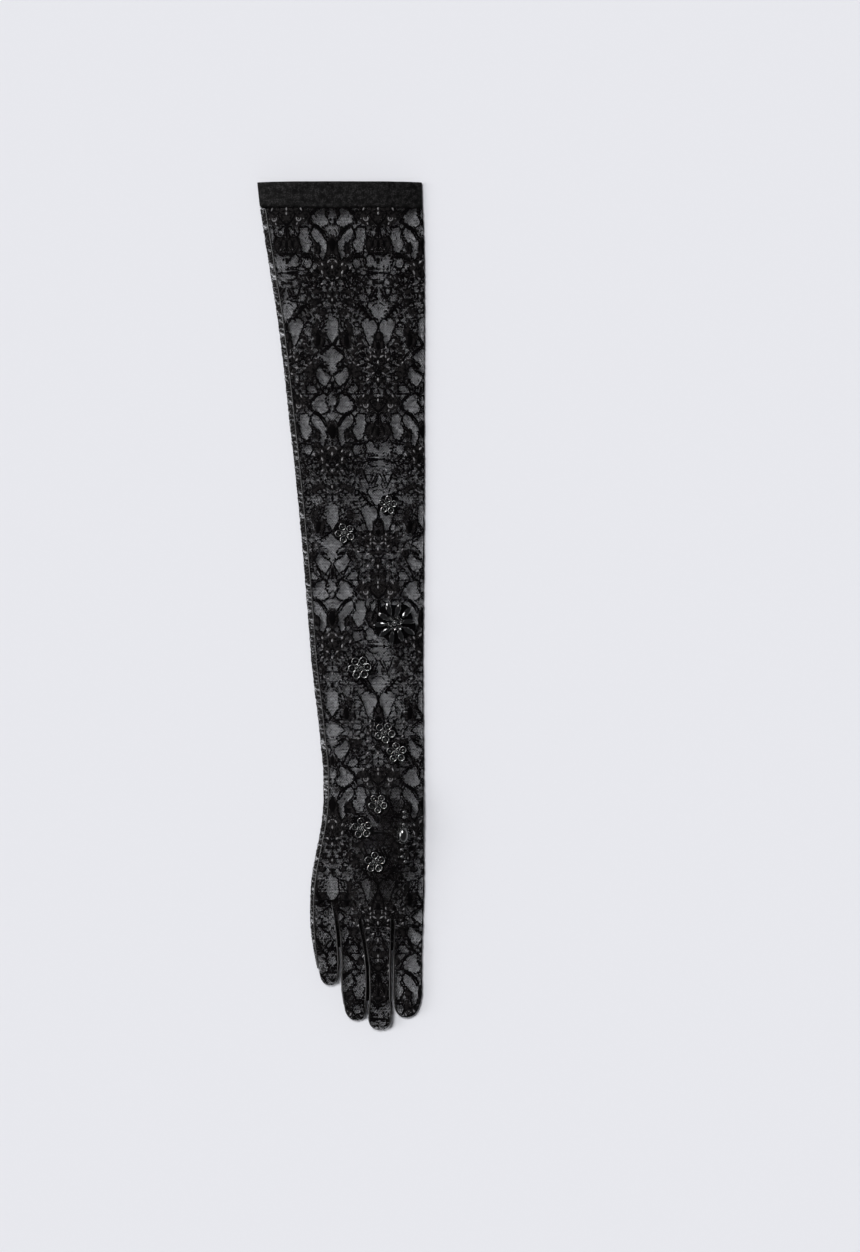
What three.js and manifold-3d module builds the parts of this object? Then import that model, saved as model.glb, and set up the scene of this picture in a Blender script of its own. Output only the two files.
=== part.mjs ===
// A long lace evening glove of the right hand, lying flat with its palm down and its thumb folded
// under the palm. Jet bead flowers are sewn to its back.
// Millimetres. +Z is up, +Y runs up the arm to the cuff, and +X is the folded edge on the
// forefinger's side. The origin is on the surface under the middle of the glove.

import * as THREE from 'three';
import { mergeVertices } from 'three/addons/utils/BufferGeometryUtils.js';
import Module from 'manifold-3d';

const wasm = await Module();
wasm.setup();

// Driving dimensions of the cloth
const wall = 1;
const clearance = 0.3;
const fingerHoleLip = 0.35;
const hemWall = 1.5;
const hemDepth = 18.5;
const foldEdgeHeight = 2.6;
const foldNose = 0.9;
const crownSharpness = 4;
const narrowestHollow = 0.3;
const columnsAcross = { hem: 10, arm: 10, hand: 16, finger: 6, thumb: 6 };
const cutReach = 60;

// Stations along the glove
const cuffY = 318;
const wristY = -119;
const littleCrotchY = -221;
const littleRoundY = -268;
const knuckleY = -233.5;
const seamEndY = -272;

// The arm and hand: the outer edge of the seam flange, the folded edge, the height in the middle
// and the width of the flange, at stations from the cuff down to the knuckles
const bodySections = [
  { y: 318, seam: -62.8, fold: 60.8, height: 10.4, flange: 0 },
  { y: 299.5, seam: -60.8, fold: 61.4, height: 10, flange: 4 },
  { y: 282, seam: -58.2, fold: 62.2, height: 9.6, flange: 4 },
  { y: 248, seam: -52.5, fold: 62.7, height: 9.2, flange: 4 },
  { y: 215, seam: -47.3, fold: 62.8, height: 9, flange: 4 },
  { y: 147, seam: -39.5, fold: 62.5, height: 8.8, flange: 4 },
  { y: 80, seam: -32.3, fold: 62.6, height: 8.6, flange: 4 },
  { y: 12, seam: -26.2, fold: 62, height: 8.6, flange: 4 },
  { y: -55, seam: -21, fold: 61.5, height: 8.4, flange: 4 },
  { y: -88, seam: -16.6, fold: 62, height: 8.2, flange: 4 },
  { y: -122, seam: -13.4, fold: 62.2, height: 8, flange: 4 },
  { y: -157, seam: -13.8, fold: 62, height: 7.8, flange: 3.6 },
  { y: -179, seam: -17.4, fold: 62.1, height: 7.6, flange: 3.2 },
  { y: -201, seam: -21.6, fold: 62.4, height: 7.5, flange: 3 },
  { y: -221, seam: -23.1, fold: 62, height: 7.4, flange: 2.8 },
  { y: -236, seam: -23, fold: 61.4, height: 7.3, flange: 2.6 },
  { y: -250, seam: -21.9, fold: 60.9, height: 7.2, flange: 2.5 },
  { y: -268, seam: -19.6, fold: 60.6, height: 7.2, flange: 2.2 },
];

// The slits between the fingers, from the crotch down
const slitWidth = 0.4;
const slits = {
  ring_little: [
    { y: -221, x: -5.6 },
    { y: -238, x: -2.6 },
    { y: -265, x: -0.5 },
    { y: -285, x: 0.3 },
  ],
  middle_ring: [
    { y: -233.5, x: 14.2 },
    { y: -254, x: 18.2 },
    { y: -273, x: 20.4 },
    { y: -306, x: 20.2 },
  ],
  index_middle: [
    { y: -233.5, x: 39.2 },
    { y: -254, x: 38.6 },
    { y: -277, x: 38.2 },
    { y: -306, x: 38.6 },
  ],
};

// Each finger: where its straight part ends and its rounded tip begins, its tip, and the slits or
// edges on its two sides
const fingerHeight = 7.2;
const fingerTipHeight = 3.4;
const fingerRounding = [32, 58, 78];
const fourchetteEdgeHeight = 5.8;
const fingerHoleDepth = 3;
const fingers = [
  { name: 'finger_index', left: 'index_middle', right: 'fold', roundFrom: -292, tip: { x: 48.4, y: -308.6 } },
  { name: 'finger_middle', left: 'middle_ring', right: 'index_middle', roundFrom: -306, tip: { x: 28.4, y: -318 } },
  { name: 'finger_ring', left: 'ring_little', right: 'middle_ring', roundFrom: -288, tip: { x: 13.6, y: -310.8 } },
  { name: 'finger_little', left: 'seam', right: 'ring_little', roundFrom: littleRoundY, tip: { x: -8.8, y: -284.4 } },
];

// The thumb lies under the palm, along a line from its root to its tip
const thumbHeight = 6.5;
const thumbRadius = 11;
const thumbRoot = new THREE.Vector2(39.4, -154);
const thumbTip = new THREE.Vector2(30.6, -228);
const thumbEndHeight = 3;
const thumbRounding = [74, 40, 0];
const thumbJoints = [0.3, 0.7];
const palmPlateau = 9;
const palmRoundness = 0.12;
const palmDrape = 20;
const endDrapeShare = 0.8;
const thumbHole = { x: 37.2, y: -172, width: 13, length: 42 };

// Fourchettes: plain side panels between neighbouring fingers
const fourchetteHeight = 3.6;
const fourchetteLift = 1.55;
const fourchetteEndsBeforeTip = 12;
const webDepth = 2.2;
const webInset = { top: 0.4, start: 0.2 };
const slotStart = 1;
const slotSlack = 0.55;

// Bead work
const cupRadius = 2.65;
const cupHeight = 1.5;
const cupDepth = 0.5;
const cupRing = 5.4;
const cupFoot = 0.65;
const heartRadius = 3.8;
const heartHeight = 2.3;
const domeShoulder = { radius: 0.85, height: 0.6 };
const beadSides = 10;
const sequinFlowers = [
  { name: 'flower_upper_arm', x: 35.4, y: 76, petals: 5, turn: 12, size: 0.86 },
  { name: 'flower_outer_arm', x: 3.2, y: 55, petals: 5, turn: 40, size: 0.94 },
  { name: 'flower_forearm', x: 14.4, y: -46, petals: 6, turn: 5, size: 1.08 },
  { name: 'flower_wrist_upper', x: 33, y: -94.5, petals: 5, turn: 62, size: 1 },
  { name: 'flower_wrist_lower', x: 42, y: -109.5, petals: 5, turn: 95, size: 0.96 },
  { name: 'flower_hand_upper', x: 27.9, y: -147.5, petals: 5, turn: 55, size: 0.9 },
  { name: 'flower_hand_outer', x: 15.9, y: -166, petals: 5, turn: 25, size: 0.98 },
  { name: 'flower_hand_lower', x: 25.7, y: -191.5, petals: 5, turn: 18, size: 0.98 },
];
const marquiseFlower = {
  x: 40.7, y: -12.4, stones: 10, length: 11, width: 4.6, height: 2.2, innerRing: 10, outerRing: 11.6,
  heartRadius: 7.6, heartHeight: 3,
};
const marquiseCut = { corners: 8, base: 0.7, girdle: 0.4, table: 0.55, pointedness: 1.25 };
const spray = {
  x: 46.9, top: -152, bottom: -196, beadRadius: 2.1, beadHeight: 2.9, beadSpacing: 3.9,
  ovalY: -171, ovalWidth: 7.5, ovalLength: 11.5, ovalHeight: 3,
};

const lace = new THREE.MeshStandardMaterial({ color: 0x202024, roughness: 0.85, metalness: 0 });
const net = new THREE.MeshStandardMaterial({ color: 0x35353a, roughness: 0.9, metalness: 0 });
const satin = new THREE.MeshStandardMaterial({ color: 0x17171a, roughness: 0.6, metalness: 0 });
const thread = new THREE.MeshStandardMaterial({ color: 0x4a4a50, roughness: 0.9, metalness: 0 });
const jet = new THREE.MeshStandardMaterial({ color: 0x08080a, roughness: 0.12, metalness: 0 });

// Smooth curve through one column of a table of stations
function curveOf(rows, column) {
  const sorted = [...rows].sort((a, b) => a.y - b.y);
  const stations = sorted.map((row) => row.y);
  const values = sorted.map((row) => row[column]);
  const curve = new THREE.CubicInterpolant(stations, values, 1, new Float64Array(1));
  return (y) => curve.evaluate(y)[0];
}

const flangeEdgeAt = curveOf(bodySections, 'seam');
const foldAt = curveOf(bodySections, 'fold');
const bodyHeightAt = curveOf(bodySections, 'height');
const flangeWidthAt = curveOf(bodySections, 'flange');
const slitAt = Object.fromEntries(
  Object.entries(slits).map(([name, rows]) => [name, curveOf(rows, 'x')]),
);

// The seam side of the cloth tube itself, inside the flange
function seamAt(y) {
  return flangeEdgeAt(y) + flangeWidthAt(y) + clearance;
}

// How far a point on the palm is held up by the thumb under it
function liftAt(x, y) {
  const axis = thumbTip.clone().sub(thumbRoot);
  const reach = axis.length();
  const point = new THREE.Vector2(x, y).sub(thumbRoot);
  const along = point.dot(axis) / reach;
  const aside = point.cross(axis) / reach;
  const beyond = Math.max(-along, along - reach, 0) * endDrapeShare;
  const distance = Math.hypot(aside, beyond);
  const drape = THREE.MathUtils.smoothstep(1 - (distance - palmPlateau) / palmDrape, 0, 1);
  const rounding = palmRoundness * (1 - (aside / thumbRadius) ** 2);
  return (thumbHeight + clearance + rounding) * drape;
}

// Height of a cloth tube's back above its palm side: low at the edges, flat across the middle
function crownAt(x, left, right, height, leftEdge, rightEdge) {
  const across = THREE.MathUtils.clamp((2 * x - left - right) / (right - left), -1, 1);
  const edge = THREE.MathUtils.lerp(leftEdge, rightEdge, (across + 1) / 2);
  return edge + (height - edge) * (1 - Math.abs(across) ** crownSharpness);
}

// Height of the glove's back over arm and hand
function backHeight(x, y) {
  const crown = crownAt(x, seamAt(y), foldAt(y), bodyHeightAt(y), foldEdgeHeight, foldEdgeHeight);
  return liftAt(x, y) + crown;
}

// One ring of points round a cloth tube: from the left nose over the back to the right nose and
// back under the palm. inset shrinks it to the hollow inside a wall of that thickness.
function tubeRing(section, columns, inset, floorAt = liftAt) {
  const { y, left, right, height, leftEdge = foldEdgeHeight, rightEdge = foldEdgeHeight } = section;
  const middle = (left + right) / 2;
  const half = (right - left) / 2 - Math.min(inset, (right - left) * narrowestHollow);
  const nose = Math.min(foldNose, half / 3);
  const over = [];
  const under = [];
  for (let i = 0; i <= columns; i += 1) {
    const x = middle + (half - nose) * ((2 * i) / columns - 1);
    const floor = floorAt(x, y);
    const crown = crownAt(x, left, right, height, leftEdge, rightEdge);
    over.push(new THREE.Vector3(x, y, floor + crown - inset));
    under.push(new THREE.Vector3(x, y, floor + inset));
  }
  const noseAt = (x, column) => new THREE.Vector3(x, y, (over[column].z + under[column].z) / 2);
  return [noseAt(middle - half, 0), ...over, noseAt(middle + half, columns), ...under.reverse()];
}

// Closed solid through rings of equal length, each ring a ladder of back and palm points
function loft(rings) {
  const count = rings[0].length;
  const triangles = [];
  for (let r = 0; r + 1 < rings.length; r += 1) {
    for (let i = 0; i < count; i += 1) {
      const next = (i + 1) % count;
      const here = r * count;
      const there = here + count;
      triangles.push(here + i, there + i, here + next);
      triangles.push(here + next, there + i, there + next);
    }
  }
  const last = (rings.length - 1) * count;
  for (let i = 1; i <= count / 2; i += 1) {
    const low = count - i;
    const lowNext = (low + 1) % count;
    const pairs = [[i - 1, i, lowNext], [i, low, lowNext]];
    for (const [a, b, c] of pairs.filter((corners) => new Set(corners).size === 3)) {
      triangles.push(a, b, c);
      triangles.push(last + a, last + c, last + b);
    }
  }
  const points = rings.flat();
  const geometry = new THREE.BufferGeometry().setFromPoints(points);
  geometry.setIndex(triangles);
  return solidOf(geometry);
}

// Boolean solid of a closed geometry, whichever way round its faces were made
function solidOf(geometry) {
  const bare = geometry.clone();
  bare.deleteAttribute('normal');
  bare.deleteAttribute('uv');
  const merged = mergeVertices(bare, 1e-4);
  const corners = merged.index.array;
  const kept = [];
  for (let i = 0; i < corners.length; i += 3) {
    const [a, b, c] = corners.slice(i, i + 3);
    if (a !== b && b !== c && c !== a) {
      kept.push(a, b, c);
    }
  }
  const vertProperties = new Float32Array(merged.attributes.position.array);
  const bodyOf = (triVerts) => new wasm.Manifold(new wasm.Mesh({ numProp: 3, vertProperties, triVerts }));
  const made = bodyOf(new Uint32Array(kept));
  if (made.volume() > 0) {
    return made;
  }
  for (let i = 0; i < kept.length; i += 3) {
    [kept[i + 1], kept[i + 2]] = [kept[i + 2], kept[i + 1]];
  }
  return bodyOf(new Uint32Array(kept));
}

function meshOf(name, solid, material) {
  const made = solid.getMesh();
  const geometry = new THREE.BufferGeometry();
  geometry.setAttribute('position', new THREE.BufferAttribute(Float32Array.from(made.vertProperties), 3));
  geometry.setIndex(new THREE.BufferAttribute(Uint32Array.from(made.triVerts), 1));
  const flat = geometry.toNonIndexed();
  flat.computeVertexNormals();
  const mesh = new THREE.Mesh(flat, material);
  mesh.name = name;
  return mesh;
}

// Straight-sided bar through rectangular sections
function bar(sections) {
  return loft(
    sections.map(({ y, left, right, low, high }) => [
      new THREE.Vector3(left, y, low),
      new THREE.Vector3(left, y, high),
      new THREE.Vector3(right, y, high),
      new THREE.Vector3(right, y, low),
    ]),
  );
}

function stationsBetween(from, to, count) {
  return Array.from({ length: count + 1 }, (_, i) => THREE.MathUtils.lerp(from, to, i / count));
}

const sleeveStations = stationsBetween(cuffY - hemDepth - clearance, wristY, 11);
const handStations = stationsBetween(wristY - clearance, knuckleY, 10);
const littleStations = stationsBetween(littleCrotchY - clearance, littleRoundY, 4);

// The same stations with the first and last moved
function movedEnds(stations, first, last) {
  return [stations[0] + first, ...stations.slice(1, -1), stations.at(-1) + last];
}

// Arm and hand: one tube, cut across into the hem, the sleeve and the hand
function bodyTube(stations, columns, inset) {
  const rings = stations.map((y) =>
    tubeRing({ y, left: seamAt(y), right: foldAt(y), height: bodyHeightAt(y) }, columns, inset),
  );
  return loft(rings);
}

function hemBand() {
  const hemEnd = cuffY - hemDepth;
  const ring = (y, inset) =>
    tubeRing({ y, left: flangeEdgeAt(y), right: foldAt(y), height: bodyHeightAt(y) }, columnsAcross.hem, inset);
  const stations = [cuffY, cuffY - hemDepth / 2, hemEnd];
  const outside = loft(stations.map((y) => ring(y, 0)));
  const hollow = loft(movedEnds(stations, 1, -1).map((y) => ring(y, hemWall)));
  return outside.subtract(hollow);
}

function sleeve() {
  const outside = bodyTube(sleeveStations, columnsAcross.arm, 0);
  return outside.subtract(bodyTube(movedEnds(sleeveStations, 1, -1), columnsAcross.arm, wall));
}

// Thumb tube with rounded ends, which lies on the surface itself
function thumbTube(inset) {
  const axis = thumbTip.clone().sub(thumbRoot);
  const reach = thumbRadius - inset;
  const ringAt = (along, turn) => {
    const beyond = Math.sin(turn * THREE.MathUtils.DEG2RAD) * reach;
    const shrink = Math.cos(turn * THREE.MathUtils.DEG2RAD);
    const x = THREE.MathUtils.lerp(thumbRoot.x, thumbTip.x, along) + (beyond * axis.x) / axis.y;
    const y = THREE.MathUtils.lerp(thumbRoot.y, thumbTip.y, along) + beyond;
    const half = thumbRadius * shrink;
    const height = THREE.MathUtils.lerp(thumbEndHeight, thumbHeight, shrink);
    return tubeRing({ y, left: x - half, right: x + half, height }, columnsAcross.thumb, inset, () => 0);
  };
  const rootEnd = thumbRounding.map((turn) => ringAt(0, turn));
  const tipEnd = thumbRounding.map((turn) => ringAt(1, -turn)).reverse();
  return loft([...rootEnd, ...thumbJoints.map((along) => ringAt(along, 0)), ...tipEnd]);
}

// Oval way from the palm into the thumb, in line with the thumb
function thumbHoleSolid() {
  const geometry = new THREE.CylinderGeometry(thumbHole.width / 2, thumbHole.width / 2, thumbHeight, 16);
  geometry.rotateX(Math.PI / 2);
  geometry.scale(1, thumbHole.length / thumbHole.width, 1);
  geometry.rotateZ(-Math.atan2(thumbRoot.x - thumbTip.x, thumbRoot.y - thumbTip.y));
  geometry.translate(thumbHole.x, thumbHole.y, thumbHeight + clearance / 2);
  return solidOf(geometry);
}

// Edges of a finger, with its rounded tip, at the stations of its rings
function fingerRings(finger, from, inset) {
  const leftAt = (y) => (finger.left === 'seam' ? seamAt(y) : slitAt[finger.left](y) + slitWidth / 2);
  const rightAt = (y) => (finger.right === 'fold' ? foldAt(y) : slitAt[finger.right](y) - slitWidth / 2);
  const leftEdge = finger.left === 'seam' ? foldEdgeHeight : fourchetteEdgeHeight;
  const rightEdge = finger.right === 'fold' ? foldEdgeHeight : fourchetteEdgeHeight;
  const rings = stationsBetween(from, finger.roundFrom, 4).map((y) =>
    tubeRing(
      { y, left: leftAt(y), right: rightAt(y), height: fingerHeight, leftEdge, rightEdge },
      columnsAcross.finger,
      inset,
    ),
  );
  const start = finger.roundFrom;
  const lastRounding = Math.sin(fingerRounding.at(-1) * THREE.MathUtils.DEG2RAD);
  const left = leftAt(start);
  const right = rightAt(start);
  for (const turn of fingerRounding) {
    const along = Math.sin(turn * THREE.MathUtils.DEG2RAD) / lastRounding;
    const aside = Math.cos(turn * THREE.MathUtils.DEG2RAD);
    const section = {
      y: THREE.MathUtils.lerp(start, finger.tip.y + inset, along),
      left: THREE.MathUtils.lerp(finger.tip.x, left, aside),
      right: THREE.MathUtils.lerp(finger.tip.x, right, aside),
      height: THREE.MathUtils.lerp(fingerTipHeight, fingerHeight, aside),
      leftEdge: THREE.MathUtils.lerp(foldEdgeHeight, leftEdge, aside),
      rightEdge: THREE.MathUtils.lerp(foldEdgeHeight, rightEdge, aside),
    };
    rings.push(tubeRing(section, columnsAcross.finger, inset));
  }
  return rings;
}

function fingerSolid(finger, from, inset) {
  return loft(fingerRings(finger, from, inset));
}

function baseOf(finger) {
  return (finger.name === 'finger_little' ? littleCrotchY : knuckleY) - clearance;
}

// What the little finger's slit takes from the hand below its crotch
function littleFingerCut(grow) {
  const inner = (y) => slitAt.ring_little(y) + slitWidth / 2 + grow;
  const section = (y) => ({ y, left: -cutReach, right: inner(y), low: -cutReach, high: cutReach });
  return bar([littleCrotchY + grow, knuckleY, seamEndY].map(section));
}

// Palm and back of the hand, stepped where the little finger leaves it, with an open wrist,
// a hole for each finger in its closed lower end and one for the thumb in the palm
function hand() {
  const columns = columnsAcross.hand;
  const outside = bodyTube(handStations, columns, 0).subtract(littleFingerCut(0));
  const hollow = bodyTube(movedEnds(handStations, 1, wall), columns, wall).subtract(littleFingerCut(wall));
  const fingerHoles = fingers.map((finger) =>
    fingerSolid(finger, baseOf(finger) + fingerHoleDepth, wall + fingerHoleLip),
  );
  return [hollow, ...fingerHoles, thumbHoleSolid()].reduce((solid, cut) => solid.subtract(cut), outside);
}

// Strip that stands between back and palm along one side of a slit
function fourchetteStrip(slit, side, from, to, extra) {
  const sections = stationsBetween(from, to, 4).map((y) => {
    const x = slitAt[slit](y) + (side * (slitWidth + wall)) / 2;
    const low = liftAt(x, y) + fourchetteLift;
    const half = wall / 2 + extra;
    return { y, left: x - half, right: x + half, low: low - extra, high: low + fourchetteHeight + extra };
  });
  return bar(sections);
}

// Each fourchette ends before the tip of the shorter of its two fingers
function fourchetteEnd(slit) {
  const neighbours = fingers.filter(({ left, right }) => left === slit || right === slit);
  return Math.max(...neighbours.map(({ tip }) => tip.y)) + fourchetteEndsBeforeTip;
}

// Both strips of a fourchette, joined by a web at the crotch
function fourchette(slit) {
  const from = slits[slit][0].y - clearance;
  const strips = [-1, 1].map((side) => fourchetteStrip(slit, side, from, fourchetteEnd(slit), 0));
  const x = slitAt[slit](from);
  const low = liftAt(x, from) + fourchetteLift + webInset.top;
  const high = low + fourchetteHeight - 2 * webInset.top;
  const webStart = from - webInset.start;
  const webSection = (y) => ({ y, left: x - wall / 2, right: x + wall / 2, low, high });
  return strips[0].add(strips[1]).add(bar([webStart, webStart - webDepth].map(webSection)));
}

// Room for a fourchette in the walls beside it
function fourchetteSlot(slit) {
  const from = slits[slit][0].y + slotStart;
  const to = fourchetteEnd(slit) - clearance;
  const [left, right] = [-1, 1].map((side) => fourchetteStrip(slit, side, from, to, slotSlack));
  return left.add(right);
}

// Seam flange: a thin strip beside the seamed edge, at the height of its nose
function sideSeam() {
  const low = (foldEdgeHeight - wall) / 2;
  const besideHand = handStations.filter((y) => y > littleCrotchY);
  const sections = [...sleeveStations, ...besideHand, ...littleStations, seamEndY].map((y) => {
    const outer = flangeEdgeAt(y);
    return { y, left: outer, right: outer + flangeWidthAt(y), low, high: low + wall };
  });
  return bar(sections);
}

// Lowest height at which a bead of this reach clears the back
function restHeight(x, y, reach) {
  const heights = [backHeight(x, y)];
  for (let i = 0; i < 8; i += 1) {
    const turn = (i * Math.PI) / 4;
    heights.push(backHeight(x + reach * Math.cos(turn), y + reach * Math.sin(turn)));
  }
  return Math.max(...heights) + clearance;
}

// Plane on which a flower of this reach is sewn: its centre, its tilt, and how far the back stands
// above or below it at an offset from the centre
function seatOn(x, y, reach) {
  const slopeX = (backHeight(x + reach, y) - backHeight(x - reach, y)) / (2 * reach);
  const slopeY = (backHeight(x, y + reach) - backHeight(x, y - reach)) / (2 * reach);
  const height = restHeight(x, y, reach / 3);
  const normal = new THREE.Vector3(-slopeX, -slopeY, 1).normalize();
  const turn = new THREE.Quaternion().setFromUnitVectors(new THREE.Vector3(0, 0, 1), normal);
  const riseAt = (dx, dy, bead) => restHeight(x + dx, y + dy, bead) - height - slopeX * dx - slopeY * dy;
  return { centre: new THREE.Vector3(x, y, height), turn, riseAt };
}

// Turned body on the local Z axis, from a profile that starts and ends on the axis
function turned(profile, sides = beadSides) {
  const geometry = new THREE.LatheGeometry(profile.map(([r, z]) => new THREE.Vector2(r, z)), sides);
  geometry.rotateX(Math.PI / 2);
  return solidOf(geometry);
}

function cup(radius) {
  return turned([[0, 0], [radius * cupFoot, 0], [radius, cupHeight], [0, cupDepth]]);
}

function dome(radius, height) {
  const shoulder = [radius * domeShoulder.radius, height * domeShoulder.height];
  return turned([[0, 0], [radius, 0], shoulder, [0, height]]);
}

// Fused bead work, as a mesh placed on its seat
function sewnOn(name, seat, parts) {
  const mesh = meshOf(name, parts.reduce((whole, part) => whole.add(part)), jet);
  mesh.position.copy(seat.centre);
  mesh.quaternion.copy(seat.turn);
  return mesh;
}

function sequinFlower({ name, x, y, petals, turn, size }) {
  const seat = seatOn(x, y, cupRing * size);
  const parts = [dome(heartRadius * size, heartHeight)];
  for (let i = 0; i < petals; i += 1) {
    const angle = (turn + (i * 360) / petals) * THREE.MathUtils.DEG2RAD;
    const dx = cupRing * size * Math.cos(angle);
    const dy = cupRing * size * Math.sin(angle);
    parts.push(cup(cupRadius * size).translate([dx, dy, seat.riseAt(dx, dy, cupRadius / 2)]));
  }
  return sewnOn(name, seat, parts);
}

// Pointed oval stone with a girdle, a flat table and bevelled crown and base, along local X
function marquiseStone({ length, width, height }) {
  const outline = (scale, z) =>
    Array.from({ length: marquiseCut.corners }, (_, i) => {
      const turn = (i * 2 * Math.PI) / marquiseCut.corners;
      const across = Math.sign(Math.sin(turn)) * Math.abs(Math.sin(turn)) ** marquiseCut.pointedness;
      return new THREE.Vector3((length / 2) * scale * Math.cos(turn), (width / 2) * scale * across, z);
    });
  const girdle = outline(1, height * marquiseCut.girdle);
  return loft([outline(marquiseCut.base, 0), girdle, outline(marquiseCut.table, height)]);
}

function marquiseFlowerMesh() {
  const { x, y, stones, length, width, innerRing, outerRing, heartRadius: heart } = marquiseFlower;
  const seat = seatOn(x, y, innerRing);
  const parts = [dome(heart, marquiseFlower.heartHeight)];
  for (let i = 0; i < stones; i += 1) {
    const angle = ((i + 0.5) * 2 * Math.PI) / stones;
    const ring = i % 2 ? outerRing : innerRing;
    const riseAt = (r) => seat.riseAt(r * Math.cos(angle), r * Math.sin(angle), width / 3);
    const inner = riseAt(ring - length / 2);
    const outer = riseAt(ring + length / 2);
    const pitch = Math.atan2(outer - inner, length) * THREE.MathUtils.RAD2DEG;
    const middle = Math.max((inner + outer) / 2, riseAt(ring));
    const stone = marquiseStone(marquiseFlower)
      .rotate([0, -pitch, 0])
      .rotate([0, 0, angle * THREE.MathUtils.RAD2DEG])
      .translate([ring * Math.cos(angle), ring * Math.sin(angle), middle]);
    parts.push(stone);
  }
  return sewnOn('flower_marquise', seat, parts);
}

function beadSpray() {
  const { x, top, bottom, beadRadius, beadHeight, beadSpacing } = spray;
  const { ovalY, ovalWidth, ovalLength, ovalHeight } = spray;
  const base = restHeight(x, ovalY, ovalWidth / 2);
  const parts = [dome(1, ovalHeight).scale([ovalWidth / 2, ovalLength / 2, 1])];
  const firstBead = (ovalLength + beadSpacing) / 2 - clearance;
  for (const end of [top, bottom]) {
    for (let far = firstBead; far <= Math.abs(end - ovalY); far += beadSpacing) {
      const dy = far * Math.sign(end - ovalY);
      const rise = restHeight(x, ovalY + dy, beadRadius) - base;
      parts.push(dome(beadRadius, beadHeight).translate([0, dy, rise]));
    }
  }
  const mesh = meshOf('bead_spray', parts.reduce((whole, part) => whole.add(part)), jet);
  mesh.position.set(x, ovalY, base);
  return mesh;
}

const slots = Object.keys(slits).map(fourchetteSlot);
const withoutSlots = (solid) => slots.reduce((rest, slot) => rest.subtract(slot), solid);

const clothing = new THREE.Group();
clothing.add(meshOf('hem_band', hemBand(), satin));
clothing.add(meshOf('sleeve', sleeve(), lace));
clothing.add(meshOf('hand', withoutSlots(hand()), lace));
clothing.add(meshOf('thumb', thumbTube(0).subtract(thumbTube(wall)).subtract(thumbHoleSolid()), lace));
clothing.add(meshOf('side_seam', sideSeam(), thread));

const fingerGroup = new THREE.Group();
for (const finger of fingers) {
  const base = baseOf(finger);
  const shell = fingerSolid(finger, base, 0).subtract(fingerSolid(finger, base + 1, wall));
  fingerGroup.add(meshOf(finger.name, withoutSlots(shell), lace));
}
for (const slit of Object.keys(slits)) {
  fingerGroup.add(meshOf(`fourchette_${slit}`, fourchette(slit), net));
}

const beadwork = new THREE.Group();
beadwork.add(...sequinFlowers.map(sequinFlower), marquiseFlowerMesh(), beadSpray());

const glove = new THREE.Group();
glove.add(clothing, fingerGroup, beadwork);

export default glove;
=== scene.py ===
"""Looks of a lace opera glove, lying flat with its thumb folded under the palm.

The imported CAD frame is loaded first. Cloth surfaces are laid over its solids, the lace pattern is charted
as one mirrored repeat and raised on both layers, and hem, seams, sequins, stones and beads are added.
"""
import math
import random

import bpy
import numpy as np
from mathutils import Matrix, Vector


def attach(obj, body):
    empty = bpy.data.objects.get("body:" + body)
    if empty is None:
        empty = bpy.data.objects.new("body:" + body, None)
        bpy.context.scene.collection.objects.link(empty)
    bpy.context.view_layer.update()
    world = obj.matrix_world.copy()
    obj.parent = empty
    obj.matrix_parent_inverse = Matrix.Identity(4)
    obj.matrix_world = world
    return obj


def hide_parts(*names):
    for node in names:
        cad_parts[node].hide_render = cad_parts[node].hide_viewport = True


MM = 0.001
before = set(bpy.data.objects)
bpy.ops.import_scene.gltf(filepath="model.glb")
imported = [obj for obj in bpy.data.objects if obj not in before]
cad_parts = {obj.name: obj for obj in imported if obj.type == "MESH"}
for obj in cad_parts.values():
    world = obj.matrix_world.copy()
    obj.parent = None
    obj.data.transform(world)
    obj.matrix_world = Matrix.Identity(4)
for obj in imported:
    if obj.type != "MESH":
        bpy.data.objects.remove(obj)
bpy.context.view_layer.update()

# Camera at the photograph's place: straight above, image top towards the cuff
PHOTO_WIDTH, PHOTO_HEIGHT = 860, 1252
PIXEL = 0.75
GLOVE_CENTRE_PX = (340.75, 606.5)
CLOTH_LEVEL = 6.0
LENS = 120
SENSOR = 36
view_x = (PHOTO_WIDTH / 2 - GLOVE_CENTRE_PX[0]) * PIXEL
view_y = (GLOVE_CENTRE_PX[1] - PHOTO_HEIGHT / 2) * PIXEL
camera_height = CLOTH_LEVEL + PHOTO_HEIGHT * PIXEL * LENS / SENSOR

camera_data = bpy.data.cameras.new("camera")
camera_data.lens = LENS
camera_data.sensor_width = SENSOR
camera_data.clip_end = 20
camera = bpy.data.objects.new("camera", camera_data)
camera.location = (view_x * MM, view_y * MM, camera_height * MM)
bpy.context.scene.collection.objects.link(camera)
bpy.context.scene.camera = camera

# Light: an even pale studio. Broad distant lamps keep the floor even and draw the highlights on the beads
SKY_COLOUR = (0.97, 0.975, 1.0, 1)
HORIZON_BAND = (0.03, 0.55)
OVERHEAD = 0.09
HORIZON = 0.86
LAMPS = [
    # name, where it stands (a direction), breadth in degrees, strength
    ("key", (-0.42, 0.58, 1.0), 24, 2.61),
    ("left", (-1.0, 0.05, 0.55), 30, 1.2),
]

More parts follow.
